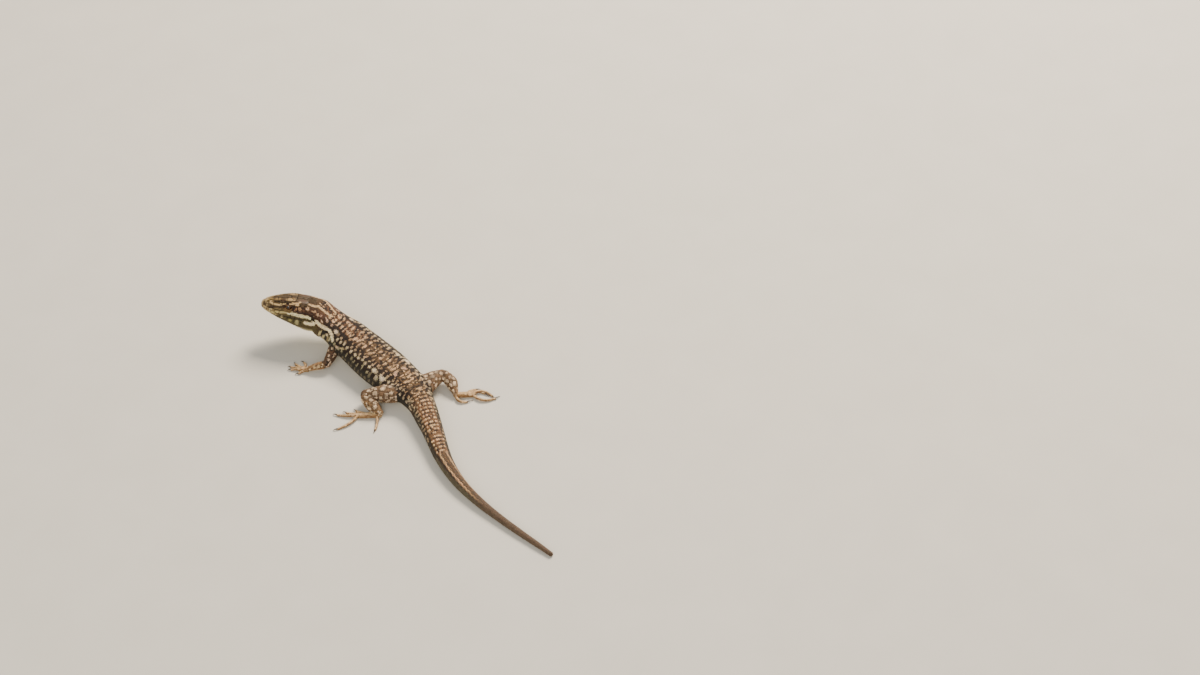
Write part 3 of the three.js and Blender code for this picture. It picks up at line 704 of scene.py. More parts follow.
def markings(s, y, seed):
    """Colours of one side of the body."""
    draw = np.random.default_rng(seed)
    share = y / half_girth(s)
    trunk, tail, regrown = ramp(s, 19, 23), ramp(s, 64, 70), ramp(s, 87.2, 88.2)
    colour = np.tile(tint("#453319"), (len(s), 1))
    colour = laid(colour, ramp(s, 16, 22) * (1 - ramp(s, 33, 42)), "#6a442a")
    colour = laid(colour, ramp(s, 33, 42), "#654a2d")
    colour = laid(colour, tail, "#69492b")
    # the flank's own dark band; the trunk's lower flank and the tail's sides dull dark, painted shade
    colour = laid(colour, trunk * (1 - tail) * ramp(y, 2.0, 2.6), "#24150a")
    colour = laid(colour, trunk * (1 - tail) * ramp(share, 0.36, 0.42), "#29231a")
    colour = laid(colour, tail * ramp(share, 0.22, 0.28), "#352a1d")
    for first, last, down, pitch, long, wide, tilt, loose, code in MARK_ROWS:
        for at in np.arange(first, last, pitch):
            jitter = draw.normal(0, 1, 6)
            here = (at + loose * pitch * jitter[0], down + loose * jitter[1])
            size = (long * (1 + 0.8 * loose * jitter[2]), wide * (1 + loose * jitter[3]))
            strength = np.clip(0.9 + 0.16 * jitter[4], 0.35, 1)
            colour = laid(colour, strength * blot(s, y, *here, *size, tilt + 9 * jitter[5]), code)
    colour = laid(colour, trunk * (1 - tail) * ramp(share, 0.58, 0.64), "#cdc2a0")
    colour = laid(colour, tail * ramp(share, 0.60, 0.74), "#a39778")
    # the regrown tail: plain brown, a pale line with a dark one under it, an olive-grey side
    colour = laid(colour, 0.9 * regrown * ramp(share, 0.0, 0.05), "#473523")
    colour = laid(colour, regrown * ramp(share, 0.22, 0.25), "#33241a")
    colour = laid(colour, regrown * ramp(share, 0.30, 0.37), "#544b38")
    line = [(87.6, 1.1), (91, 1.15), (98, 1.2), (108, 1.0), (118, 0.8), (128, 0.6)]
    colour = laid(colour, (1 - 0.9 * ramp(s, 98, 114)) * stroke(s, y, line, 0.25), "#c0986e")
    colour = laid(colour, regrown * ramp(share, 0.75, 0.85), "#857b62")
    colour = laid(colour, 0.8 * ramp(s, 103, 113), "#584433")

    # the head and neck: brow, eye line, temple, labial stripe, throat
    head = 1 - ramp(s, 17, 20)
    colour = laid(colour, (1 - ramp(s, 21, 24)) * ramp(y, 3.3, 3.9) * ramp(s, 7, 11), "#452915")
    colour = laid(colour, head * ramp(y, 3.4, 4.2) * (1 - ramp(s, 6, 9)), "#806a42")
    colour = laid(colour, (1 - ramp(s, 20, 24)) * ramp(y, 6.4, 7.2), "#4f4422")
    colour = laid(colour, (1 - ramp(s, 20, 24)) * ramp(y, 11, 13), "#c2b68c")
    colour = laid(colour, 0.85 * (1 - ramp(s, 2.2, 3.6)), "#b0966a")          # pale tip of the snout
    for at, down, long, wide, tilt, code in [
            (9.6, 1.5, 1.5, 0.7, 0, "#9c7f52"), (5.6, 1.2, 1.1, 0.6, 0, "#7d643c"),
            (3.2, 0.9, 0.9, 0.6, 0, "#8a6f3c"), (13.2, 1.4, 1.4, 0.45, 0, "#4b2f1b"),
            (7.4, 1.9, 0.9, 0.3, 20, "#432b17"), (3.8, 4.6, 0.45, 0.6, 0, "#dcc391"),
            (5.3, 6.8, 0.5, 0.4, 0, "#c9b880"), (7.6, 7.6, 0.55, 0.4, 0, "#e0cf9c"),
            (12.8, 4.75, 0.55, 0.3, 0, "#b58d66"), (15.1, 4.3, 0.5, 0.62, -35, "#cfa883"),
            (17.1, 4.7, 0.6, 0.34, 0, "#bf9872"), (16.0, 2.8, 0.9, 0.35, 0, "#c7a277"),
            (18.5, 5.2, 0.4, 0.6, 20, "#a98363"), (20.3, 3.6, 0.35, 0.5, 30, "#b5907a"),
            (22.4, 3.0, 0.9, 0.30, 35, "#cda98c"), (24.6, 3.2, 0.4, 0.5, 0, "#b59279"),
            (12.6, 9.4, 0.55, 1.2, 0, "#a2976a"), (10.4, 8.9, 0.6, 0.5, 20, "#93874d"),
            (22.8, 8.2, 0.35, 1.5, 6, "#c2b07c"), (24.3, 8.6, 0.38, 1.5, 10, "#c6b684"),
            (26.2, 7.6, 0.35, 1.0, -10, "#a08a5c"), (27.4, 3.8, 0.8, 0.6, 0, "#d8c3a6"),
            (31.0, 7.2, 0.75, 0.45, 0, "#cdb08c"), (33.2, 6.3, 0.95, 0.35, -25, "#b79f74"),
            (19.2, 4.3, 0.45, 0.4, 0, "#c7a37f"), (21.6, 4.5, 0.5, 0.35, 30, "#cfae8b"),
            (11.6, 5.1, 0.35, 0.4, 0, "#a67c54"), (13.8, 5.3, 0.6, 0.3, 0, "#5f3c22"),
            (25.4, 6.6, 0.5, 0.5, 0, "#d9c49c"), (27.0, 7.0, 0.4, 0.9, 0, "#bfae84"),
            (51.2, 5.6, 0.85, 0.72, 0, "#e0cfb4"), (47.5, 5.0, 0.60, 0.72, 0, "#dccaa8"),
            (53.6, 1.8, 0.9, 0.55, 35, "#c9a284"), (49.2, 6.4, 0.45, 0.9, 0, "#b3a184")]:
        colour = laid(colour, blot(s, y, at, down, long, wide, tilt), code)
    for path, half_width, code in [
            ([(3.4, 3.8), (5.5, 4.1), (9.0, 4.35), (13.5, 4.0)], 0.34, "#34200f"),
            ([(10.5, 2.2), (12.5, 2.5), (14.6, 2.2), (16.4, 1.9)], 0.22, "#432b17"),
            ([(3.4, 1.9), (4.5, 2.8), (6.5, 3.4), (10.0, 3.55), (12.0, 3.2), (12.4, 2.2)],
             0.30, "#d2b07c"),
            ([(15.3, 2.7), (17.2, 3.0), (18.2, 2.3), (19.6, 1.8), (21.2, 1.4), (22.4, 1.2)],
             0.34, "#dbb98c"),
            ([(2.0, 5.2), (4.2, 5.6), (7.5, 6.1), (9.6, 6.3)], 0.32, "#b8a56e"),
            ([(9.6, 6.4), (11.0, 6.6), (13.5, 6.95), (16.8, 7.0)], 0.42, "#ffe9b6"),
            ([(5.0, 7.1), (8.0, 7.6), (12.0, 7.8), (15.6, 7.9)], 0.2, "#3c2d14"),
            ([(9.0, 5.7), (13.0, 5.9), (16.8, 6.1)], 0.2, "#2d1a0c"),
            ([(14.0, 10.4), (16.2, 10.6), (18.4, 9.8)], 0.2, "#4b3a1c"),
            ([(15.2, 9.0), (17.0, 8.9), (18.4, 8.1), (19.3, 7.0), (20.2, 6.0)], 0.62, "#f8e4b8"),
            ([(20.2, 5.9), (22.5, 5.6), (25.0, 4.9), (26.8, 5.4), (28.4, 6.6)], 0.50, "#f2dcb2")]:
        colour = laid(colour, stroke(s, y, path, half_width), code)
    return colour


def coat_colour(s, arc, side):
    """Colours for distances, arcs and sides; the regrown tail's pattern is twisted to the right."""
    twist = 0.10 * half_girth(s) * ramp(s, 86, 100)
    across = arc * side + twist
    left, right = markings(s, np.abs(across), 11), markings(s, np.abs(across), 23)
    return np.where((across > 0)[:, None], left, right)


# ---------------------------------------------------------------- how scales are laid
# Each scale is a small blister of horn on the skin with a soft hinge in front and a free rear
# edge. One node tree sets a scale shape on every seat and gives each its own baking patch.

PATCH = 0.003                 # breadth of one scale's patch on the OFBake map


def scale_shape(name, sides, squareness, profile, keel=0.0):
    """A closed scale one unit long and wide: rings of a share of its outline, and their heights."""
    turns = (np.arange(sides) + 0.5) * 2 * np.pi / sides
    c, d = np.cos(turns), np.sin(turns)
    reach = 0.5 * (np.abs(c) ** squareness + np.abs(d) ** squareness) ** (-1 / squareness)
    points = []
    for share, height in profile:
        ridge = keel * np.clip(1 - np.abs(reach * share * d) / 0.2, 0, 1)
        points += [(r * share * a, r * share * b, height + e) for r, a, b, e in zip(reach, c, d, ridge)]
    points += [(0, 0, profile[-1][1] + 0.06 + keel), (0, 0, profile[0][1])]
    faces = closed_faces(len(profile), sides, len(points) - 1, len(points) - 2)
    mesh = bpy.data.meshes.new(name)
    mesh.from_pydata(points, [], flipped(faces))
    patch = mesh.attributes.new("patch", "FLOAT_VECTOR", "POINT")
    patch.data.foreach_set("vector", np.array([(x * PATCH, y * PATCH, 0) for x, y, _ in points]).ravel())
    return placed(name, mesh)


granule = scale_shape("granule", 8, 2.5, [(1.0, -0.6), (0.94, 0.20), (0.6, 0.72)], 0.06)
keeled = scale_shape("keeled scale", 10, 3.6, [(1.0, -0.5), (0.95, 0.3), (0.55, 0.7)], 0.35)
plate = scale_shape("belly plate", 12, 4.5, [(1.0, -0.6), (0.97, 0.55), (0.88, 0.95), (0.5, 1.0)])

coat_tree = bpy.data.node_groups.new("scales on the skin", "GeometryNodeTree")
coat_tree.interface.new_socket("Seats", in_out="INPUT", socket_type="NodeSocketGeometry")
for label, kind in (("Scale shape", "Object"), ("Finish", "Material"), ("Size", "Float"),
                    ("Unevenness", "Float"), ("Lift of the rear edge", "Float"), ("Seed", "Int")):
    coat_tree.interface.new_socket(label, in_out="INPUT", socket_type="NodeSocket" + kind)
coat_tree.interface.new_socket("Coat", in_out="OUTPUT", socket_type="NodeSocketGeometry")
given = put(coat_tree, "NodeGroupInput")
read = {name: put(coat_tree, "GeometryNodeInputNamedAttribute", {"Name": name}, data_type="FLOAT_VECTOR")
        for name in ("lie", "outward", "extent", "root", "patch")}
facing = put(coat_tree, "FunctionNodeAxesToRotation", {
    "Primary Axis": read["outward"], "Secondary Axis": read["lie"]}, primary_axis="Z", secondary_axis="X")
chance = put(coat_tree, "FunctionNodeRandomValue", {
    "Min": (-1, -1, -1), "Max": (1, 1, 1), "Seed": given.outputs["Seed"]}, data_type="FLOAT_VECTOR")
apart = put(coat_tree, "ShaderNodeSeparateXYZ", {"Vector": chance})
wobble = put(coat_tree, "ShaderNodeMath", {0: apart, 1: 0.05}, operation="MULTIPLY")
raised = put(coat_tree, "ShaderNodeMath", {
    0: given.outputs["Lift of the rear edge"], 1: -1.0}, operation="MULTIPLY")
tipped = put(coat_tree, "FunctionNodeEulerToRotation", {
    "Euler": put(coat_tree, "ShaderNodeCombineXYZ", {"X": wobble, "Y": raised})})
posed = put(coat_tree, "FunctionNodeRotateRotation", {"Rotation": facing, "Rotate By": tipped},
            rotation_space="LOCAL")
uneven = put(coat_tree, "ShaderNodeVectorMath", {
    0: chance, 1: put(coat_tree, "ShaderNodeCombineXYZ", {i: given.outputs["Unevenness"] for i in range(3)}),
    2: (1, 1, 1)}, operation="MULTIPLY_ADD")
own_size = put(coat_tree, "ShaderNodeVectorMath", {0: uneven, 1: read["extent"]}, operation="MULTIPLY")
sized = put(coat_tree, "ShaderNodeVectorMath", {"Vector": own_size, "Scale": given.outputs["Size"]},
            operation="SCALE")
shape_of = put(coat_tree, "GeometryNodeObjectInfo", {"Object": given.outputs["Scale shape"]},
               transform_space="ORIGINAL")
set_out = put(coat_tree, "GeometryNodeInstanceOnPoints", {
    "Points": given.outputs["Seats"], "Instance": shape_of.outputs["Geometry"],
    "Rotation": posed, "Scale": sized})
solid = put(coat_tree, "GeometryNodeRealizeInstances", {"Geometry": set_out})
map_place = put(coat_tree, "ShaderNodeVectorMath", {0: read["root"], 1: read["patch"]}, operation="ADD")
mapped = put(coat_tree, "GeometryNodeStoreNamedAttribute", {
    "Geometry": solid, "Name": "OFBake", "Value": map_place}, data_type="FLOAT2", domain="CORNER")
rounded = put(coat_tree, "GeometryNodeSetShadeSmooth", {"Geometry": mapped})
finished = put(coat_tree, "GeometryNodeSetMaterial", {
    "Geometry": rounded, "Material": given.outputs["Finish"]})
put(coat_tree, "NodeGroupOutput", {"Coat": finished})
coat_sockets = {item.name: item.identifier for item in coat_tree.interface.items_tree
                if item.in_out == "INPUT"}

# Scale keratin, grown in thin layers: a satin shell over the pigment, crossed by the fine ridges
# of its growth, which a quarter millimetre of ripple stands for so that they can be seen.
horn_skin, tree = finish_tree("satin scale keratin")
spot = put(tree, "ShaderNodeTexCoord")
own = put(tree, "ShaderNodeAttribute", attribute_name="tone")
fleck = put(tree, "ShaderNodeTexNoise", {"Vector": spot.outputs["Object"], "Scale": 4200.0, "Detail": 3.0})
speckle = put(tree, "ShaderNodeMapRange", {"Value": fleck.outputs["Fac"], "To Min": 0.86, "To Max": 1.14})
pigment = put(tree, "ShaderNodeVectorMath", {0: own.outputs["Color"], "Scale": speckle}, operation="SCALE")
ripple = put(tree, "ShaderNodeBump", {
    "Strength": 0.25, "Distance": 0.00003, "Height": fleck.outputs["Fac"]})
wear = put(tree, "ShaderNodeMapRange", {"Value": fleck.outputs["Fac"], "To Min": 0.42, "To Max": 0.58})
keratin = put(tree, "ShaderNodeBsdfPrincipled", {
    "Base Color": pigment, "Roughness": wear, "Normal": ripple, "IOR": 1.55, "Specular IOR Level": 0.3})
put(tree, "ShaderNodeOutputMaterial", {"Surface": keratin})

DARKEST, PALEST = 0.002, 0.9                  # linear limits of the pigment


def painted(thing, tones):
    """Gives the points of a piece the colours of their pigment, or all of them one colour."""
    tones = np.broadcast_to(np.clip(tones, DARKEST, PALEST), (len(thing.data.vertices), 3))
    tones = np.column_stack([tones, np.ones(len(tones))])
    thing.data.attributes.new("tone", "FLOAT_COLOR", "POINT").data.foreach_set("color", tones.ravel())


PRESSED, LOWEST = 0.05, 0.01                  # height under which scales are squeezed, and to what
painted_places, painted_tones = [], []        # what the skin takes its colours from


def lay_coat(name, shape, seats, unevenness=0.06, lift=3.0, seed=1):
    """Sets a scale on every seat and makes one plain mesh of them, which rides on the body."""
    seats = {key: np.concatenate(rows) for key, rows in seats.items()}
    mesh = bpy.data.meshes.new(name)
    mesh.from_pydata(((seats["place"] - MIDDLE) * MM).tolist(), [], [])
    for key, values in (("lie", seats["lie"]), ("outward", seats["outward"]),
                        ("extent", seats["extent"] * MM),
                        ("root", np.pad(seats["root"], ((0, 0), (0, 1))))):
        mesh.attributes.new(key, "FLOAT_VECTOR", "POINT").data.foreach_set("vector", values.ravel())
    coat = placed(name, mesh)
    painted(coat, seats["tone"])
    laying = coat.modifiers.new("scales", "NODES")
    laying.node_group = coat_tree
    for label, value in (("Scale shape", shape), ("Finish", horn_skin), ("Size", 1.0),
                         ("Unevenness", unevenness), ("Lift of the rear edge", math.radians(lift)),
                         ("Seed", seed)):
        laying[coat_sockets[label]] = value
    mesh = settled(coat)
    for spare in ("lie", "outward", "extent", "root", "patch"):
        mesh.attributes.remove(mesh.attributes[spare])
    level = np.zeros(len(mesh.vertices) * 3)
    mesh.vertices.foreach_get("co", level)
    high = level[2::3] / MM
    room = PRESSED - LOWEST
    low = LOWEST + room * np.exp((np.minimum(high, PRESSED) - PRESSED) / room)
    level[2::3] = np.where(high < PRESSED, low, high) * MM
    mesh.vertices.foreach_set("co", level)
    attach(coat, "root")
    painted_places.append(seats["place"])
    painted_tones.append(seats["tone"])


def nearest_skin(place):
    """The nearest spots of the fused skin, their outward directions and how far off they are."""
    found = [skin_tree.find_nearest(here) for here in place.tolist()]
    return (np.array([spot for spot, _, _, _ in found]), np.array([normal for _, normal, _, _ in found]),
            np.array([away for _, _, _, away in found]))


def on_skin(place, outward):
    """Seats moved onto the fused skin at the limbs' roots, which are moved, and which to keep."""
    spot, normal, away = nearest_skin(place)
    moved = away > 0.10
    place = np.where(moved[:, None], spot, place)
    outward = np.where(moved[:, None], unit(0.5 * outward + normal), outward)
    return place, outward, moved, away < 0.55


CELL = 0.5                     # edge of the cells by which scales are looked up
seats_by_cell = {}             # places of the loose scales laid so far, to keep later ones clear
AROUND = list(itertools.product((-1, 0, 1), repeat=3))


def has_room(place, gap):
    """Whether no scale lies nearer to a place than the gap; if so, the place is taken."""
    cell = tuple(int(v // CELL) for v in place)
    if gap and any(math.dist(place, other) < gap for step in AROUND
                   for other in seats_by_cell.get(tuple(map(sum, zip(cell, step))), ())):
        return False
    seats_by_cell.setdefault(cell, []).append(place)
    return True


shades = np.random.default_rng(5)


def varied(tone, amount=0.07):
    """Tones with each scale a little lighter or darker than its neighbours."""
    return tone * (1 + amount * shades.normal(0, 1, (len(tone), 1))) * (
        1 + 0.3 * amount * shades.normal(0, 1, (len(tone), 3)))


def new_seats():
    return {key: [] for key in ("place", "lie", "outward", "extent", "tone", "root")}


def add_seats(seats, surface, s, angle, extent, tone, root, depth=COAT, loose=True, gap=0.0):
    """Adds seats on a surface. Loose ones follow the fused skin, or are left out inside it; a
    seat with another scale nearer than the gap is left out."""
    place, lie, outward = seat(surface, s, angle, depth)
    keep = np.ones(len(s), bool)
    if loose:
        place, outward, moved, keep = on_skin(place, outward)
        keep &= [kept and has_room(spot, max(gap, 0.33) if far else gap)
                 for spot, far, kept in zip(place.tolist(), moved, keep)]
    pressed = place[:, 2] < FLOOR_GAP          # where the animal rests on the ground
    place[pressed, 2] = FLOOR_GAP
    outward = np.where(pressed[:, None], -UP, outward)
    for key, values in zip(seats, (place, lie, outward, extent, tone, root)):
        seats[key].append(values[keep])


# ---------------------------------------------------------------- shields of the head
# Plates of horn grown to the skull, each with a soft groove round it: paired and single ones on
# the crown, a row along each lip and under the chin, larger ones before the eye and on the temple.

GROOVE = 0.045                # half the width of the seam between two shields


def on_crown(at, out):
    return at, crown(at, out)


def on_chin(at, out):
    return at, chin(at, out)


def on_cheek(at, up):
    return at, cheek(at, up)


def on_right_cheek(at, up):
    return at, 180 - cheek(at, up)


def on_snout(out, up):
    """The tip of the snout as seen from in front."""
    angle = np.degrees(np.arctan2(up, out))
    edge = np.hypot(*section(FIRST, angle))
    share = np.hypot(out, up) / edge
    rounded = FIRST - SNOUT_ROUND * np.sqrt(np.clip(1 - share**2, 0, 1))
    return np.where(share < 1, rounded, FIRST + (share - 1) * edge), angle


# Single shields by their left half, from the front round to the back of the middle line.
CROWN_MIDDLE = {
    "frontonasal": [(2.40, 0), (2.55, 0.55), (3.35, 1.22), (4.05, 0.75), (4.25, 0)],
    "frontal": [(5.10, 0), (5.50, 0.97), (6.6, 0.84), (8.2, 0.68), (9.10, 0.64), (9.35, 0)],
    "interparietal": [(10.95, 0), (11.20, 0.55), (12.60, 0.44), (13.0, 0)],
    "occipital": [(13.05, 0), (12.98, 0.36), (13.35, 0.62), (14.1, 0.60), (14.35, 0)],
}
# Paired shields, the left of each, likewise by distance from the snout and from the middle line.
CROWN_PAIRS = {
    "supranasal": [(1.32, 0), (1.38, 0.70), (1.85, 1.28), (2.7, 1.45), (3.30, 1.22), (2.55, 0.55),
                   (2.40, 0)],
    "prefrontal": [(4.25, 0), (4.05, 0.75), (3.35, 1.22), (4.2, 1.72), (5.60, 2.0), (5.50, 0.97),
                   (5.10, 0)],
    "supraocular_1": [(5.52, 0.97), (5.62, 2.0), (6.25, 2.1), (6.6, 0.84)],
    "supraocular_2": [(6.6, 0.84), (6.25, 2.1), (6.9, 2.5), (8.4, 2.62), (8.3, 0.68)],
    "supraocular_3": [(8.3, 0.68), (8.4, 2.62), (9.9, 2.6), (10.3, 1.72), (9.65, 1.05), (9.10, 0.64)],
    "supraocular_4": [(9.9, 2.6), (10.85, 2.45), (11.05, 1.78), (10.3, 1.72)],
    "frontoparietal": [(9.35, 0), (9.10, 0.64), (9.65, 1.05), (10.3, 1.72), (11.1, 1.72), (11.20, 0.55),
                       (10.95, 0)],
    "parietal": [(11.20, 0.55), (11.1, 1.72), (11.0, 2.35), (11.7, 2.85), (13.3, 3.1), (14.7, 2.85),
                 (15.1, 1.9), (14.7, 0.9), (14.1, 0.60), (13.35, 0.62), (12.98, 0.36), (12.60, 0.44)],
}
# Shields of the left cheek: distance from the snout and height over the jaw line.
CHEEK_SHIELDS = {
    "postnasal_low": [(2.15, 0.50), (2.12, 1.15), (2.78, 1.3), (2.85, 0.52)],
    "postnasal_high": [(2.12, 1.15), (2.25, 1.75), (3.0, 2.0), (2.78, 1.3)],
    "loreal_front": [(2.85, 0.52), (2.78, 1.3), (3.0, 2.0), (4.15, 2.45), (4.55, 1.7), (4.4, 0.56)],
    "loreal_back": [(4.4, 0.56), (4.55, 1.7), (4.15, 2.45), (6.1, 3.05), (6.85, 2.6), (6.55, 1.2),
                    (5.9, 0.6)],
    "preocular": [(5.9, 0.6), (6.55, 1.2), (6.85, 2.6), (7.35, 2.4), (7.25, 1.3), (7.1, 0.7)],
    "masseteric": [(12.2, 2.0), (12.6, 2.65), (13.3, 2.7), (13.8, 2.1), (13.4, 1.5), (12.6, 1.45)],
    "tympanic": [(16.1, 2.1), (16.5, 2.5), (17.1, 2.3), (16.7, 1.95)],
    "supratemporal_1": [(11.1, 3.35), (11.2, 3.75), (12.7, 3.85), (12.7, 3.3)],
    "supratemporal_2": [(12.75, 3.3), (12.75, 3.85), (14.0, 3.8), (13.9, 3.2)],
    "supratemporal_3": [(13.95, 3.2), (14.05, 3.8), (15.1, 3.6), (14.9, 3.05)],
    "postocular_1": [(10.95, 2.3), (10.9, 2.95), (11.7, 3.1), (11.6, 2.35)],
    "postocular_2": [(10.9, 1.55), (10.95, 2.25), (11.6, 2.3), (11.7, 1.6)],
}
# Seams between the labials of the upper and the lower lip, and the upper ones' far edge.
UPPER_SEAMS = (1.15, 2.6, 3.9, 5.2, 6.6, 10.4, 11.8, 13.2, 14.5)
LOWER_SEAMS = (1.25, 2.5, 3.9, 5.4, 7.2, 9.4, 11.6, 13.6)
LIP_TOP = [(1.1, 0.42), (2.85, 0.50), (5.9, 0.58), (7.1, 0.70), (7.6, 1.00), (10.0, 1.02),
           (10.5, 0.85), (14.6, 1.0)]
LIP_GAP = 0.02                 # from the line of the mouth
for number, (front, back) in enumerate(zip(UPPER_SEAMS, UPPER_SEAMS[1:]), 1):
    CHEEK_SHIELDS[f"upper_labial_{number}"] = (
        [(at, np.interp(at, *zip(*LIP_TOP))) for at in np.linspace(back, front, 4)]
        + [(at, lip(at) + LIP_GAP) for at in np.linspace(front, back, 4)])
for number, (front, back) in enumerate(zip(LOWER_SEAMS, LOWER_SEAMS[1:]), 1):
    deep = 0.72 + 0.04 * number
    CHEEK_SHIELDS[f"lower_labial_{number}"] = (
        [(at, lip(at) - LIP_GAP) for at in np.linspace(back, front, 4)]
        + [(at, lip(at) - min(deep, 0.45 + 0.25 * at)) for at in np.linspace(front, back, 4)])
# Shields of the chin, the left of each: distance from the snout and from the middle line.
CHIN_SHIELDS = {
    "chin_1": [(1.85, 0), (1.9, 0.6), (2.95, 1.05), (3.0, 0)],
    "chin_2": [(3.0, 0), (2.95, 1.05), (3.3, 1.75), (4.8, 1.95), (4.9, 0)],
    "chin_3": [(4.9, 0), (4.8, 1.95), (5.4, 2.6), (7.1, 2.7), (6.8, 0.9), (6.3, 0)],
    "chin_4": [(6.85, 0.95), (7.1, 2.7), (7.6, 3.15), (9.6, 3.3), (9.3, 1.9)],
    "chin_5": [(9.35, 1.95), (9.6, 3.3), (10.2, 3.75), (12.0, 3.8), (11.8, 2.8)],
    "chin_6": [(11.85, 2.85), (12.0, 3.8), (13.2, 4.1), (13.4, 3.5)],
}
# Single shields of the snout by their left half, from in front: distance out and up.
SNOUT_SHIELDS = {
    "rostral": [(0, 1.70), (0.60, 1.56), (1.20, 1.08), (1.72, 0.45), (1.76, -0.21), (0.8, -0.22),
                (0, -0.22)],
    "mental": [(0, -0.38), (0.8, -0.38), (1.74, -0.39), (1.60, -0.98), (0.8, -1.62), (0, -1.85)],
}


def mirrored_half(outline):
    """A whole outline from its left half, the second coordinate being 0 on the middle line."""
    return outline + [(a, -b) for a, b in outline[-2:0:-1]]


def on_hide(s, angle, depth):
    """A point under the scales' tops, measured from the fused skin instead of the loft."""
    place, _, outward = seat(body_point, s, angle, COAT)
    spot, normal, _ = nearest_skin(place)
    return spot + unit(outward + 2 * normal) * (COAT - depth)


SHIELD_STEP = 0.28             # between the points of a shield's edge
# From edge to crown: share of the outline, and depth, or share of the shield's rise above 0.
SHIELD_RINGS = ((1, 0.30, 0), (1, 0.10, 0), (0.95, 0.03, 0), (0.86, 0, 0), (0.72, 0, 0.7), (0.56, 0, 1),
                (0.38, 0, 1), (0.19, 0, 1))


def shield(chart, outline, rise=0.03, surface=body_point):
    """Points and faces of a plate whose outline is given in a chart's coordinates."""
    corners = np.array(outline, float)
    after = np.roll(corners, -1, 0)
    if np.sum(corners[:, 0] * after[:, 1] - corners[:, 1] * after[:, 0]) < 0:
        corners = corners[::-1]
    cut_corners = []
    for way in (1, -1):        # each corner is cut off, by 0.12 or a fifth of a short side
        reach = np.roll(corners, way, 0) - corners
        cut_corners.append(corners + reach * np.minimum(0.2, 0.12 / np.linalg.norm(reach, axis=1))[:, None])
    corners = np.stack(cut_corners, 1).reshape(-1, 2)
    dense = []
    for here, there in zip(corners, np.roll(corners, -1, 0)):
        steps = max(1, math.ceil(np.linalg.norm(there - here) / SHIELD_STEP))
        dense += [here + (there - here) * k / steps for k in range(steps)]
    edge = np.array(dense)
    run = unit(np.roll(edge, -1, 0) - np.roll(edge, 1, 0))
    edge = edge - np.column_stack([run[:, 1], -run[:, 0]]) * GROOVE
    middle = edge.mean(axis=0)
    points = [surface(*chart(*(middle + (edge - middle) * share).T), depth - lift * rise)
              for share, depth, lift in SHIELD_RINGS]
    points += [surface(*chart(*middle[:, None]), depth) for depth in (-rise, 0.30)]
    sides, points = len(edge), np.vstack(points)
    faces = flipped(closed_faces(len(SHIELD_RINGS), sides, len(points) - 1, len(points) - 2))
    ring = points[sides:2 * sides] - points[-2]
    facing = np.cross(ring, np.roll(ring, -1, 0)).sum(axis=0) @ (points[-2] - points[-1])
    return points, faces if facing > 0 else [face[::-1] for face in faces]


def both(outline):
    """An outline and its mirror image."""
    return [[(a, side * b) for a, b in outline] for side in (1, -1)]


# Every shield: chart, outline, and its own rise and surface if it has them.
plates = [(on_crown, mirrored_half(outline)) for outline in CROWN_MIDDLE.values()]
plates += [(on_snout, [(b, a) for a, b in mirrored_half([(b, a) for a, b in outline])], 0.02, on_hide)
           for outline in SNOUT_SHIELDS.values()]
for chart, group in ((on_crown, CROWN_PAIRS), (on_chin, CHIN_SHIELDS)):
    plates += [(chart, one) for outline in group.values() for one in both(outline)]
plates += [(chart, outline) for outline in CHEEK_SHIELDS.values() for chart in (on_cheek, on_right_cheek)]
for k in range(6):             # the eyebrow's row of narrow plates
    front, back = 6.25 + 0.80 * k, 7.02 + 0.80 * k
    near = np.interp(k, [0, 1, 4, 5], [2.45, 2.72, 2.80, 2.72])
    brow = [(front, near), (back, near), (back, near + 0.40), (front, near + 0.40)]
    plates += [(on_crown, one, 0.05) for one in both(brow)]
pieces = [shield(*one) for one in plates]

shield_points, shield_faces = joined(pieces)
shields = object_of("head_shields", shield_points, shield_faces)
HEAD_AXES = np.array([head_along, head_side, head_top]).T
tones, roots = [], []
for some, _ in pieces:
    at, out, up = ((some - HEAD_TIP) @ HEAD_AXES).T
    angle = np.degrees(np.arctan2(up, out))
    flat = np.stack([at - at[-2], out - out[-2] + up - up[-2]], 1) / np.abs(some - some[-2]).max()
    roots.append([0.03 + 0.06 * at[-2], 0.05 + 0.9 * (angle[-2] % 360) / 360] + flat * PATCH / 2)
    arc, side = arc_at(np.maximum(at, FIRST), np.where(angle < -90, angle + 360, angle))
    groove = 3 * ((len(some) - 2) // len(SHIELD_RINGS))         # the three lowest rings lie in shade
    rim = np.where(np.arange(len(some)) < groove, 0.5, 1.0)[:, None]
    tones.append(coat_colour(np.maximum(at, 0.5), arc, side) * rim * (1 + 0.06 * shades.normal()))
tones, roots = np.vstack(tones), np.vstack(roots)
painted_places.append(shield_points)
painted_tones.append(tones)
painted(shields, tones)
corner_points = np.array([loop.vertex_index for loop in shields.data.loops])
shields.data.uv_layers.new(name="OFBake").data.foreach_set("uv", roots[corner_points].ravel())
shields.data.materials.append(horn_skin)
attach(shields, "root")


def inside_outline(a, b, outline):
    """Whether points (a, b) lie within a closed outline."""
    within = np.zeros(len(a), bool)
    for (a0, b0), (a1, b1) in zip(outline, outline[1:] + outline[:1]):
        if b0 != b1:
            within ^= ((b0 > b) != (b1 > b)) & (a < (a1 - a0) * (b - b0) / (b1 - b0) + a0)
    return within


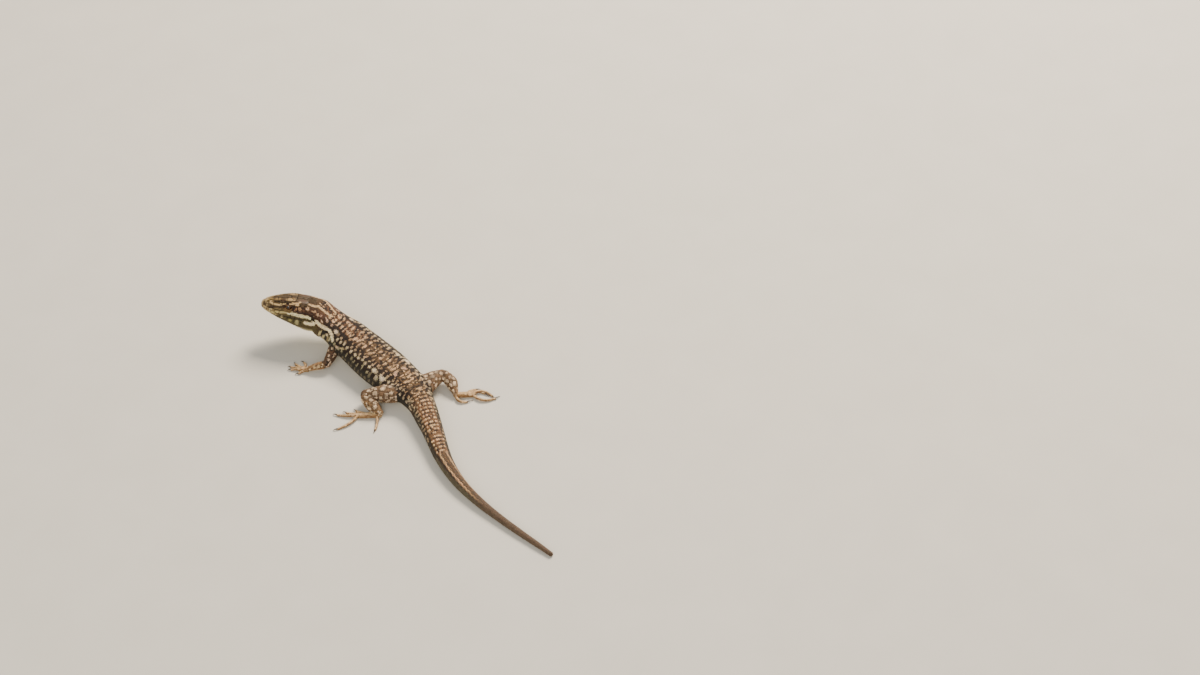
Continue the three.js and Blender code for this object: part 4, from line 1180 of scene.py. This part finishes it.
def bare(s, angle):
    """Whether grains grow at these places of the head: not on shields, lids or openings."""
    out, high = section(s, angle)
    side = np.where((angle > 90) & (angle < 270), -1, 1)
    free = np.ones(len(s), bool)
    where = {on_crown: (high > 0, out), on_chin: (high < 0, out), on_cheek: (side > 0, high),
             on_right_cheek: (side < 0, high)}
    for chart, outline, *_ in plates:
        if chart in where:         # the plates at the tip lie before the first grains
            facing, across = where[chart]
            free &= ~(facing & inside_outline(s, across, outline))
    free &= np.hypot((s - EYE["at"]) / 1.72, (high - EYE["up"]) / 1.24) > 1
    free &= np.hypot((s - EAR["at"]) / 0.78, (high - EAR["up"]) / 1.08) > 1
    free &= np.hypot(s - NOSTRIL["at"], high - NOSTRIL["up"]) > 0.5
    free &= (np.abs(high - lip(s)) > 0.16) | (s > MOUTH[-1, 0] + 0.1)
    return free


# ---------------------------------------------------------------- granules of neck, back and flanks
# Small round horny grains in staggered rings, some fifty from one edge of the belly over the back
# to the other. They sit side by side in the hide, between the shields on the head too, and grow
# coarser towards the belly and the tail.

# Distance from the snout, and breadth of the grains there.
GRAIN_PITCH = [(1, 0.36), (12, 0.40), (22, 0.43), (40, 0.46), (62, 0.46), (68, 0.52)]
RING_STEP = 0.92                # from ring to ring, as a share of that
GRAIN_ROOM = 1.04               # from grain to grain in a ring, likewise
SPREAD, PACKED = 1.3, 0.72      # how far a bend may stretch or squeeze the rings
COLLAR, VENT = 21.4, 66.5
BELLY_HALF = 5.4                # of the belly's plates, from the middle line


def body_root(s, arc, side, first, last):
    """Middle of each scale's patch on the OFBake map."""
    return np.column_stack([0.03 + 0.94 * (s - first) / (last - first), 0.5 + side * arc / 44])


def grain_rings(first, last, high):
    """Distances, signed arcs and stretch of grains in staggered rings that reach down to an arc.
    Where a bend spreads the rings a half ring is put between, where it packs them one is left out."""
    rows, s, ring = [], first, 0
    while s < last:
        pitch = np.interp(s, *zip(*GRAIN_PITCH))
        girth = half_girth(s)
        count = round(2 * girth / (pitch * GRAIN_ROOM))
        for part in (0, 0.5):
            arcs = ((np.arange(count) + 0.5 * (ring % 2) + part) / count * 2 - 1) * girth
            here = np.full(count, s + part * pitch * RING_STEP)
            around = angle_at(here, np.abs(arcs), np.sign(arcs))
            ahead, behind = body_point(here + 0.1, around), body_point(here - 0.1, around)
            stretch = np.linalg.norm(ahead - behind, axis=1) / 0.2
            wanted = stretch > SPREAD if part else (stretch > PACKED) | (ring % 2 == 0)
            wanted &= np.abs(arcs) < high(here) + 0.01
            stretch = np.where(stretch > SPREAD, stretch / 1.75,
                               np.where(stretch > PACKED, stretch, stretch * 1.7))
            rows.append(np.stack([here, arcs, stretch])[:, wanted])
        s += pitch * RING_STEP
        ring += 1
    s, arc, stretch = np.hstack(rows)
    s = s + shades.normal(0, 0.03, len(s))
    return s, arc + shades.normal(0, 0.03, len(s)), np.clip(stretch, 0.8, 1.3)


def belly_edge(s):
    """Arc at which the grains give way to the plates of the belly."""
    return half_girth(s) - np.interp(s, [22.6, 22.7, 25, 58, 62.7, 62.8, 63.5, 63.6, 65.5, 65.6],
                                     [0, 4.4, BELLY_HALF, BELLY_HALF, 3.6, 0, 0, 1.35, 1.35, 0])


for name, first, last, high, seed in (
        ("coat_head", 1.6, 14.6, half_girth, 2), ("coat_neck", 14.6, COLLAR, half_girth, 3),
        ("coat_shoulders", COLLAR, 33.0, belly_edge, 4),
        ("coat_trunk", 33.0, 50.0, belly_edge, 5), ("coat_hips", 50.0, VENT, belly_edge, 6)):
    s, arc, stretch = grain_rings(first, last, high)
    if last <= COLLAR:
        free = bare(s, angle_at(s, np.abs(arc), np.sign(arc)))
        s, arc, stretch = s[free], arc[free], stretch[free]
    side = np.where(arc < 0, -1, 1)
    arc = np.abs(arc)
    width = np.interp(s, *zip(*GRAIN_PITCH)) * np.interp(arc, [0, 8, 14], [1.06, 1.1, 1.2])
    extent = np.column_stack([width * GRAIN_ROOM * stretch, width * GRAIN_ROOM, np.full(len(s), 0.15)])
    seats = new_seats()
    add_seats(seats, body_point, s, angle_at(s, arc, side), extent,
              varied(coat_colour(s, arc, side)), body_root(s, arc, side, first, last))
    lay_coat(name, granule, seats, lift=5, seed=seed)

# ---------------------------------------------------------------- plates of the belly
# Broad smooth plates of horn in six lengthwise rows, each overlapping the next like a tile, with
# a scalloped collar of plates under the throat and one large plate before the vent.

rows = []                      # distance, arc up from the middle line, side, length, width
for at in np.arange(23.4, 62.6, 1.40):
    half = half_girth(at) - belly_edge(at)
    for share, back, wide in ((0.165, 0.0, 0.345), (0.5, 0.12, 0.345), (0.84, 0.3, 0.34)):
        rows += [(at + back, share * half, side, 1.62, half * wide) for side in (1, -1)]
for k in range(-5, 6):         # the collar
    rows.append((COLLAR + 0.9 - 0.06 * abs(k) ** 1.5, abs(k) * 1.02, -1 if k < 0 else 1,
                 1.5, 1.15 - 0.05 * abs(k)))
rows.append((64.6, 0, 1, 1.9, 2.6))        # before the vent
s, up, side, long, wide = np.array(rows).T
arc = half_girth(s) - up
seats = new_seats()
add_seats(seats, body_point, s, angle_at(s, arc, side),
          np.column_stack([long, wide, np.full(len(s), 0.18)]),
          varied(coat_colour(s, arc, side), 0.04), body_root(s, arc, side, 20, 68))
lay_coat("coat_belly", plate, seats, unevenness=0.02, lift=2.5, seed=8)

# ---------------------------------------------------------------- rings of the tail
# Whorls of narrow keeled scales, overlapping backwards like shingles. Behind the old break the
# tail has grown again, with smaller and lower scales in closer rings.


def whorls(first, last, pitch, width, rise, seed, name):
    """Rings of keeled scales down a length of the tail."""
    spots = [(at, 1.0) for at in np.arange(first, last, pitch)]
    if last == LAST:               # and over the round end of the tail
        spots += [(LAST + TIP_ROUND * math.sin(bend), math.cos(bend)) for bend in (0.45, 0.85, 1.45)]
    rings = []
    for ring, (at, shrink) in enumerate(spots):
        inside = min(at, LAST - 0.01)
        girth = half_girth(inside)
        count = max(8, round(2 * girth / width))
        if shrink < 1:
            count = max(1, round(2.1 * girth * shrink / width))
        rings += [(at, inside, ((k + 0.5 * (ring % 2)) / count * 2 - 1) * girth,
                   2 * girth * shrink / count) for k in range(count)]
    s, inside, arc, wide = np.array(rings).T
    side, arc = np.where(arc < 0, -1, 1), np.abs(arc)
    s = s + shades.normal(0, 0.02, len(s))
    seats = new_seats()
    add_seats(seats, body_point, s, angle_at(inside, arc, side),
              np.column_stack([np.where(s > LAST - 0.45, 0.46, pitch * 1.32), np.maximum(wide * 1.04, 0.36),
                               np.full(len(s), rise)]),
              varied(coat_colour(inside, arc, side), 0.10), body_root(s, arc, side, first, last))
    lay_coat(name, keeled, seats, lift=6, seed=seed)


whorls(VENT, OLD_BREAK, 0.70, 0.56, 0.16, 12, "coat_tail_root")
whorls(OLD_BREAK, LAST, 0.60, 0.46, 0.13, 13, "coat_tail_regrown")

# ---------------------------------------------------------------- scales of the limbs
# Small overlapping scales down each limb, paler and larger in front, with round pale spots in a
# dark net on arms and thighs. Palms and soles are grained, and the digits are ringed with scales,
# six or seven to a ring.

# Ground, spots, net between them, underside.
LIMB_COLOURS = {
    "upper": ("#543a25", "#dfbe9c", "#20130a", "#94805a"),
    "forearm": ("#97724a", "#e3c391", "#4a2f19", "#a88e60"),
    "hand": ("#a9834f", "#e2bf8e", "#745030", "#a88e60"),
    "thigh": ("#7f6043", "#e3c6a4", "#42301f", "#a58e64"),
    "shin": ("#886845", "#e6caa6", "#4d3622", "#a88e64"),
    "foot": ("#a98455", "#e2c090", "#704c2d", "#a88e60"),
}


def limb_tones(name, path, s, angle, draw):
    """Colours down a limb: spots about a millimetre and a half apart, each in a darker ring."""
    ground, spots, net, under = LIMB_COLOURS[name.split("_")[0]]
    radius = (smooth(path, s, 4) + smooth(path, s, 5)) / 2
    colour = np.tile(tint(ground), (len(s), 1))
    for at in np.arange(0.4, path[-1, 0] + 1, 1.38):
        count = max(3, round(2 * math.pi * smooth(path, at, 4) / 1.55))
        for k in range(count):
            jitter = draw.normal(0, 1, 5)
            around = (angle - 360 * (k + 0.36 * jitter[0]) / count + 180) % 360 - 180
            y = np.radians(around) * radius
            here = at + 0.36 * jitter[1]
            size = 0.46 * (1 + 0.3 * np.clip(jitter[2], -1.6, 2.2))
            colour = laid(colour, 0.75 * blot(s, y, here, 0, size * 1.85, size * 1.7, 0, 0.4), net)
            colour = laid(colour, np.clip(0.85 + 0.2 * jitter[3], 0.3, 1)
                          * blot(s, y, here, 0, size, size * 0.95, 0, 0.5), spots)
    if name.startswith(("upper", "thigh")):
        colour = laid(colour, 0.6 * (1 - ramp(s, 0.8, 3.0)), net)
    if name.startswith(("hand", "foot")):      # digits: a pale line on top, darker sides
        high = np.sin(np.radians(angle))
        colour = laid(colour, 0.55 * (1 - ramp(np.abs(high - 0.1), 0.2, 0.6)), net)
        colour = laid(colour, 0.6 * ramp(high, 0.72, 0.95), spots)
    return laid(colour, ramp(-np.sin(np.radians(angle)), 0.45, 0.8), under)


def limb_seats(seats, name, path, pitch, strip, strips, draw, depth=COAT, loose=True, rise=0.13):
    """Scales in rings down a limb and over its rounded ends."""
    step = pitch * 0.86
    rings = [(at, 1.0) for at in np.arange(0, path[-1, 0], step)]
    for end, way, cap in ((0, -1, path[0, 4]), (path[-1, 0], 1, path[-1, 4])):
        bends = np.arange(step / cap, math.radians(80), step / cap)
        rings += [(end + way * cap * math.sin(bend), math.cos(bend)) for bend in bends]
    rows = []
    for ring, (at, shrink) in enumerate(sorted(rings)):
        wide, tall = smooth(path, at, 4), smooth(path, at, 5)
        girth = math.pi * math.sqrt((wide**2 + tall**2) * 2) * shrink
        count = max(6 if shrink == 1 else 3, round(girth / pitch))
        rows += [(at, (k + 0.5 * (ring % 2)) / count * 360, girth / count) for k in range(count)]
    s, angle, width = np.array(rows).T
    s = s + shades.normal(0, 0.03, len(s))
    inside = np.clip(s, 0, path[-1, 0])
    along = (s + 2) / (path[-1, 0] + 4)
    root = np.column_stack([(strip + 0.1 + 0.8 * along) / strips, 0.03 + 0.94 * angle / 360])
    add_seats(seats, limb_surface(path), s, angle,
              np.column_stack([np.full(len(s), pitch * 1.15), width * 1.05, np.full(len(s), rise)]),
              varied(limb_tones(name, path, inside, angle, draw), 0.06), root, depth, loose,
              pitch * 0.72 if loose else 0.0)


for name, members, pitch, seed in (
        ("coat_forelimbs", [n for n in limb_paths if "arm" in n], 0.46, 31),
        ("coat_hind_limbs", [n for n in limb_paths if "arm" not in n], 0.50, 32),
        ("coat_palms", list(palm_paths), 0.40, 33)):
    seats, paths = new_seats(), {**limb_paths, **palm_paths}
    for strip, member in enumerate(members):
        limb_seats(seats, member, paths[member], pitch, strip, len(members),
                   np.random.default_rng(seed + strip))
    lay_coat(name, granule, seats, lift=7, seed=seed)

seats = new_seats()
for strip, (member, path) in enumerate(digit_paths.items()):
    limb_seats(seats, member, path, 0.40, strip, len(digit_paths), np.random.default_rng(60 + strip),
               depth=DIGIT_COAT, loose=False, rise=0.09)
lay_coat("coat_digits", granule, seats, unevenness=0.03, lift=5, seed=41)

# ---------------------------------------------------------------- eyelids
# Two scaly lids meet in a point before and behind the eye; their free rims stand just clear of
# the eyeball and their backs run out flush into the cheek and brow.

LID_IN, LID_CREST, LID_OUT = (1.04, 0.72), (1.20, 0.90), (1.62, 1.16)     # half length, half height
LID_STEPS = 56                 # round the eye


def lid_point(side, turned, share):
    """A point of the lids' front at an angle round the eye, share 0 at the rim and 1 outside."""
    def almond(sizes, sharp):
        high = np.sin(turned)
        return sizes[0] * np.cos(turned), sizes[1] * np.sign(high) * np.abs(high) ** sharp

    def on_ball(sizes, sharp, radius):
        at, up = almond(sizes, sharp)
        return np.stack([EYE["at"] + at, EYE["out"] + np.sqrt(np.maximum(radius**2 - at**2 - up**2, 0.01)),
                         EYE["up"] + up], -1)

    rim = on_ball(LID_IN, 1.25, EYE["radius"] + 0.03)
    crest = on_ball(LID_CREST, 1.1, EYE["radius"] + 0.20)
    at, up = almond(LID_OUT, 1.0)
    at, up = EYE["at"] + at, EYE["up"] + up
    outer = np.stack([at, section(at, cheek(at, up), COAT - 0.02)[0], up], -1)
    near, away = min(share / 0.35, 1), max((share - 0.35) / 0.65, 0)
    bulge = away + 0.15 * away * (1 - away)
    place = rim + (crest - rim) * math.sin(near * math.pi / 2) + (outer - crest) * bulge
    return head_point(place[..., 0], side * place[..., 1], place[..., 2])


pieces = []
for side in (1, -1):
    turned = np.arange(LID_STEPS) * 2 * np.pi / LID_STEPS
    rings = [lid_point(side, turned, share) for share in (0, 0.08, 0.2, 0.35, 0.5, 0.65, 0.8, 1.0)]
    rings += [rings[-1] - head_side * side * 0.35, rings[0] - head_side * side * 0.22]
    faces = walls(len(rings), LID_STEPS, wrapped=True)
    pieces.append((np.vstack(rings), faces if side < 0 else [face[::-1] for face in faces]))
lids = object_of("eyelids", *joined(pieces))
painted(lids, tint("#5b3d29"))
lids.data.materials.append(horn_skin)
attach(lids, "root")

# Rows of small scales on the lids: share of the way out, and how many.
LID_ROWS = ((0.12, 30), (0.30, 31), (0.46, 32), (0.62, 34), (0.79, 36), (0.97, 38))
seats = new_seats()
for side in (1, -1):
    eye_middle = head_point(*place_of(EYE, side))
    for row, (share, count) in enumerate(LID_ROWS):
        turned = (np.arange(count) + 0.5 * (row % 2)) * 2 * np.pi / count
        place = lid_point(side, turned, share)
        deep = np.linalg.norm(lid_point(side, turned, min(share + 0.08, 1))
                              - lid_point(side, turned, share - 0.08), axis=1)
        outward = unit(unit(place - eye_middle) + 0.8 * side * head_side)
        spot, normal, _ = nearest_skin(place)      # up to the skin where the lid goes under it
        under = np.sum((place - spot) * normal, axis=1, keepdims=True) < 0
        place = np.where(under, spot, place)
        outward = np.where(under, unit(outward + normal), outward)
        reach = place - eye_middle
        lie = unit(reach - outward * np.sum(reach * outward, axis=1, keepdims=True))
        apart = np.linalg.norm(place - np.roll(place, 1, 0), axis=1)
        pale = ramp(-np.sin(turned), 0.2, 0.7)[:, None]
        tone = tint("#432b1a") * (1 - pale) + tint("#97794d") * pale
        if row == 0:
            tone = np.tile(tint("#b08a54"), (count, 1))
        extent = np.column_stack([np.clip(1.2 * deep, 0.13, 0.26), apart * 1.02, np.full(count, 0.08)])
        root = np.column_stack([0.5 + side * 0.25 + 0.2 * share * np.cos(turned),
                                0.5 + 0.3 * (share + 0.3) * np.sin(turned)])
        for key, values in zip(seats, (place, lie, outward, extent, varied(tone), root)):
            seats[key].append(values)
lay_coat("coat_eyelids", granule, seats, lift=4, seed=21)

# ---------------------------------------------------------------- eyes
# A wet clear cornea over a bronze iris, darker towards its edge, with a thin gold ring round the
# round black pupil. The eyeballs sit in their sockets and turn with nothing.

wet_eye, tree = finish_tree("wet cornea over a bronze iris")
swung = put(tree, "ShaderNodeAttribute", attribute_name="from_pupil")
spot = put(tree, "ShaderNodeTexCoord")
streak = put(tree, "ShaderNodeTexNoise", {"Vector": spot.outputs["Object"], "Scale": 3500.0, "Detail": 2.0})
blurred = put(tree, "ShaderNodeMath", {0: streak.outputs["Fac"], 1: 7.0, 2: swung.outputs["Fac"]},
              operation="MULTIPLY_ADD")
bands = put(tree, "ShaderNodeMapRange", {"Value": blurred, "From Min": 0.0, "From Max": 100.0})
iris = put(tree, "ShaderNodeValToRGB", {"Fac": bands})
stops = [(0.0, "#050303"), (0.255, "#050303"), (0.265, "#94682f"), (0.285, "#4e2c14"), (0.50, "#341a0c"),
         (0.62, "#1e0f08"), (0.75, "#100905")]
while len(iris.color_ramp.elements) < len(stops):
    iris.color_ramp.elements.new(0.5)
for element, (at, code) in zip(iris.color_ramp.elements, stops):
    element.position = at
    element.color = (*tint(code), 1)
cornea = put(tree, "ShaderNodeBsdfPrincipled", {
    "Base Color": iris, "Roughness": 0.25, "IOR": 1.38, "Coat Weight": 1.0, "Coat Roughness": 0.03,
    "Coat IOR": 1.38})
put(tree, "ShaderNodeOutputMaterial", {"Surface": cornea})

EYE_STEPS = 40                 # round the pupil
BULGE = 0.022                  # of the cornea, as a share of the eye's radius
for name, side in (("eye_left", 1), ("eye_right", -1)):
    gaze = unit(head_side * side - head_along * 0.10 + head_top * 0.10)
    upward = unit(head_top - gaze * (head_top @ gaze))
    onward = np.cross(gaze, upward)
    swings, turns = np.linspace(0, 180, 37)[1:-1], np.arange(EYE_STEPS) * 2 * np.pi / EYE_STEPS
    f, g = np.meshgrid(np.radians(swings), turns, indexing="ij")
    radius = EYE["radius"] * (1 + BULGE * np.exp(-(np.degrees(f) / 32) ** 2))[..., None]
    centre = head_point(*place_of(EYE, side))
    rings = centre + radius * (gaze * np.cos(f)[..., None] + upward * (np.sin(f) * np.cos(g))[..., None]
                               + onward * (np.sin(f) * np.sin(g))[..., None])
    points = np.vstack([rings.reshape(-1, 3), centre + gaze * EYE["radius"] * (1 + BULGE),
                        centre - gaze * EYE["radius"]])
    faces = closed_faces(len(swings), EYE_STEPS, len(points) - 2, len(points) - 1)
    eye = object_of(name + "_ball", points, faces)
    angles_out = np.concatenate([np.repeat(swings, EYE_STEPS), [0, 180]])
    eye.data.attributes.new("from_pupil", "FLOAT", "POINT").data.foreach_set("value", angles_out)
    eye.data.materials.append(wet_eye)
    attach(eye, "root")
    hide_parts(name)

# ---------------------------------------------------------------- ears and nostrils
# The eardrum is a thin skin 0.7 mm down an open pit, painted dark for the pit's shade; each nostril
# is a hole in the nasal shield with a swollen rim.

# Colour of the ears' pits: painted shade, on the eardrums and on the skin round them.
EAR_PIT_SHADE = tint("#2a1d12")
RIM_STEPS, RIM_SIDES = 24, 8   # round the nostril, and round the rim itself
pieces = []
for side in (1, -1):
    ear_out = section(EAR["at"], cheek(EAR["at"], EAR["up"]))[0]
    pieces.append(ball((EAR["at"], side * (ear_out - 0.80), EAR["up"]), 0.72, 0.10, 1.0, 12, 28))
drum = object_of("eardrums", *joined(pieces))
painted(drum, EAR_PIT_SHADE)

pieces = []
for side in (1, -1):
    turned = np.arange(RIM_STEPS) * 2 * np.pi / RIM_STEPS
    at, up = NOSTRIL["at"] + 0.34 * np.cos(turned), NOSTRIL["up"] + 0.31 * np.sin(turned)
    angle = cheek(at, up) if side > 0 else 180 - cheek(at, up)
    place, _, outward = seat(body_point, at, angle, 0.05)
    centre = place.mean(axis=0)
    rings = [place + unit(place - centre) * 0.11 * math.cos(bend) + outward * 0.07 * math.sin(bend)
             for bend in np.arange(RIM_SIDES) * 2 * np.pi / RIM_SIDES]
    faces = walls(RIM_STEPS, RIM_SIDES, wrapped=True)
    pieces.append((np.stack(rings, 1).reshape(-1, 3), faces if side > 0 else [face[::-1] for face in faces]))
rims = object_of("nostril_rims", *joined(pieces))
painted(rims, tint("#5f4a33"))
for thing in (drum, rims):
    thing.data.materials.append(horn_skin)
    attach(thing, "root")

# ---------------------------------------------------------------- claws
# Small hooks of dark horn, sharp and flattened from the sides, with lighter worn patches. Each
# grows out of the last joint of its digit.

claw_horn, tree = finish_tree("dark polished claw horn")
spot = put(tree, "ShaderNodeTexCoord")
grain = put(tree, "ShaderNodeTexNoise", {"Vector": spot.outputs["Object"], "Scale": 2500.0})
horn = put(tree, "ShaderNodeMix", {"Factor": grain.outputs["Fac"], "A": (*tint("#2b1c12"), 1),
                                   "B": (*tint("#4a3322"), 1)}, data_type="RGBA")
gloss = put(tree, "ShaderNodeBsdfPrincipled", {"Base Color": horn, "Roughness": 0.3, "IOR": 1.55})
put(tree, "ShaderNodeOutputMaterial", {"Surface": gloss})
claws = object_of("all_claws", *joined([limb_tube(path, 0.12, 12) for path in claw_paths.values()]))
claws.data.materials.append(claw_horn)
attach(claws, "root")

# ---------------------------------------------------------------- what the skin looks like
# Thin hide between the scales, the darker and duller for lying in their shade. Each spot takes
# the colour of the scale that grows there.

SEAM_SHADE = 0.42              # of the scales' colour left in the seams between them
painted_places, painted_tones = np.vstack(painted_places), np.vstack(painted_tones)
tree_of_seats = KDTree(len(painted_places))
for i, spot in enumerate(painted_places.tolist()):
    tree_of_seats.insert(spot, i)
tree_of_seats.balance()
places = points_of(skin)
nearest = np.array([tree_of_seats.find(spot)[1] for spot in places.tolist()])
hide = painted_tones[nearest] * SEAM_SHADE
for side in (1, -1):           # the pits of the ears are painted dark all through, as their shade
    apart = (places - head_point(*place_of(EAR, side))) @ HEAD_AXES / (EAR["long"], EAR["deep"], EAR["high"])
    hide[np.linalg.norm(apart, axis=1) < 1.2] = EAR_PIT_SHADE
painted(skin, hide)

soft_hide, tree = finish_tree("soft matt hide")
own = put(tree, "ShaderNodeAttribute", attribute_name="tone")
spot = put(tree, "ShaderNodeTexCoord")
pore = put(tree, "ShaderNodeTexNoise", {"Vector": spot.outputs["Object"], "Scale": 5000.0, "Detail": 2.0})
creased = put(tree, "ShaderNodeBump", {"Strength": 0.3, "Distance": 0.00004, "Height": pore.outputs["Fac"]})
hide_shader = put(tree, "ShaderNodeBsdfPrincipled", {
    "Base Color": own.outputs["Color"], "Roughness": 0.72, "IOR": 1.4, "Normal": creased})
put(tree, "ShaderNodeOutputMaterial", {"Surface": hide_shader})
skin.data.materials.clear()
skin.data.materials.append(soft_hide)
skin.data.set_sharp_from_angle(angle=math.radians(55))
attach(skin, "root")
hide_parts("head", "lower_jaw", "neck", "trunk_front", "trunk_back", "pelvis", "tail_base",
            "tail_regrown_front", "tail_regrown_middle", "tail_tip", *limb_paths, *palm_paths)

for pattern in (granule, keeled, plate):
    bpy.data.objects.remove(pattern)
bpy.data.node_groups.remove(coat_tree)
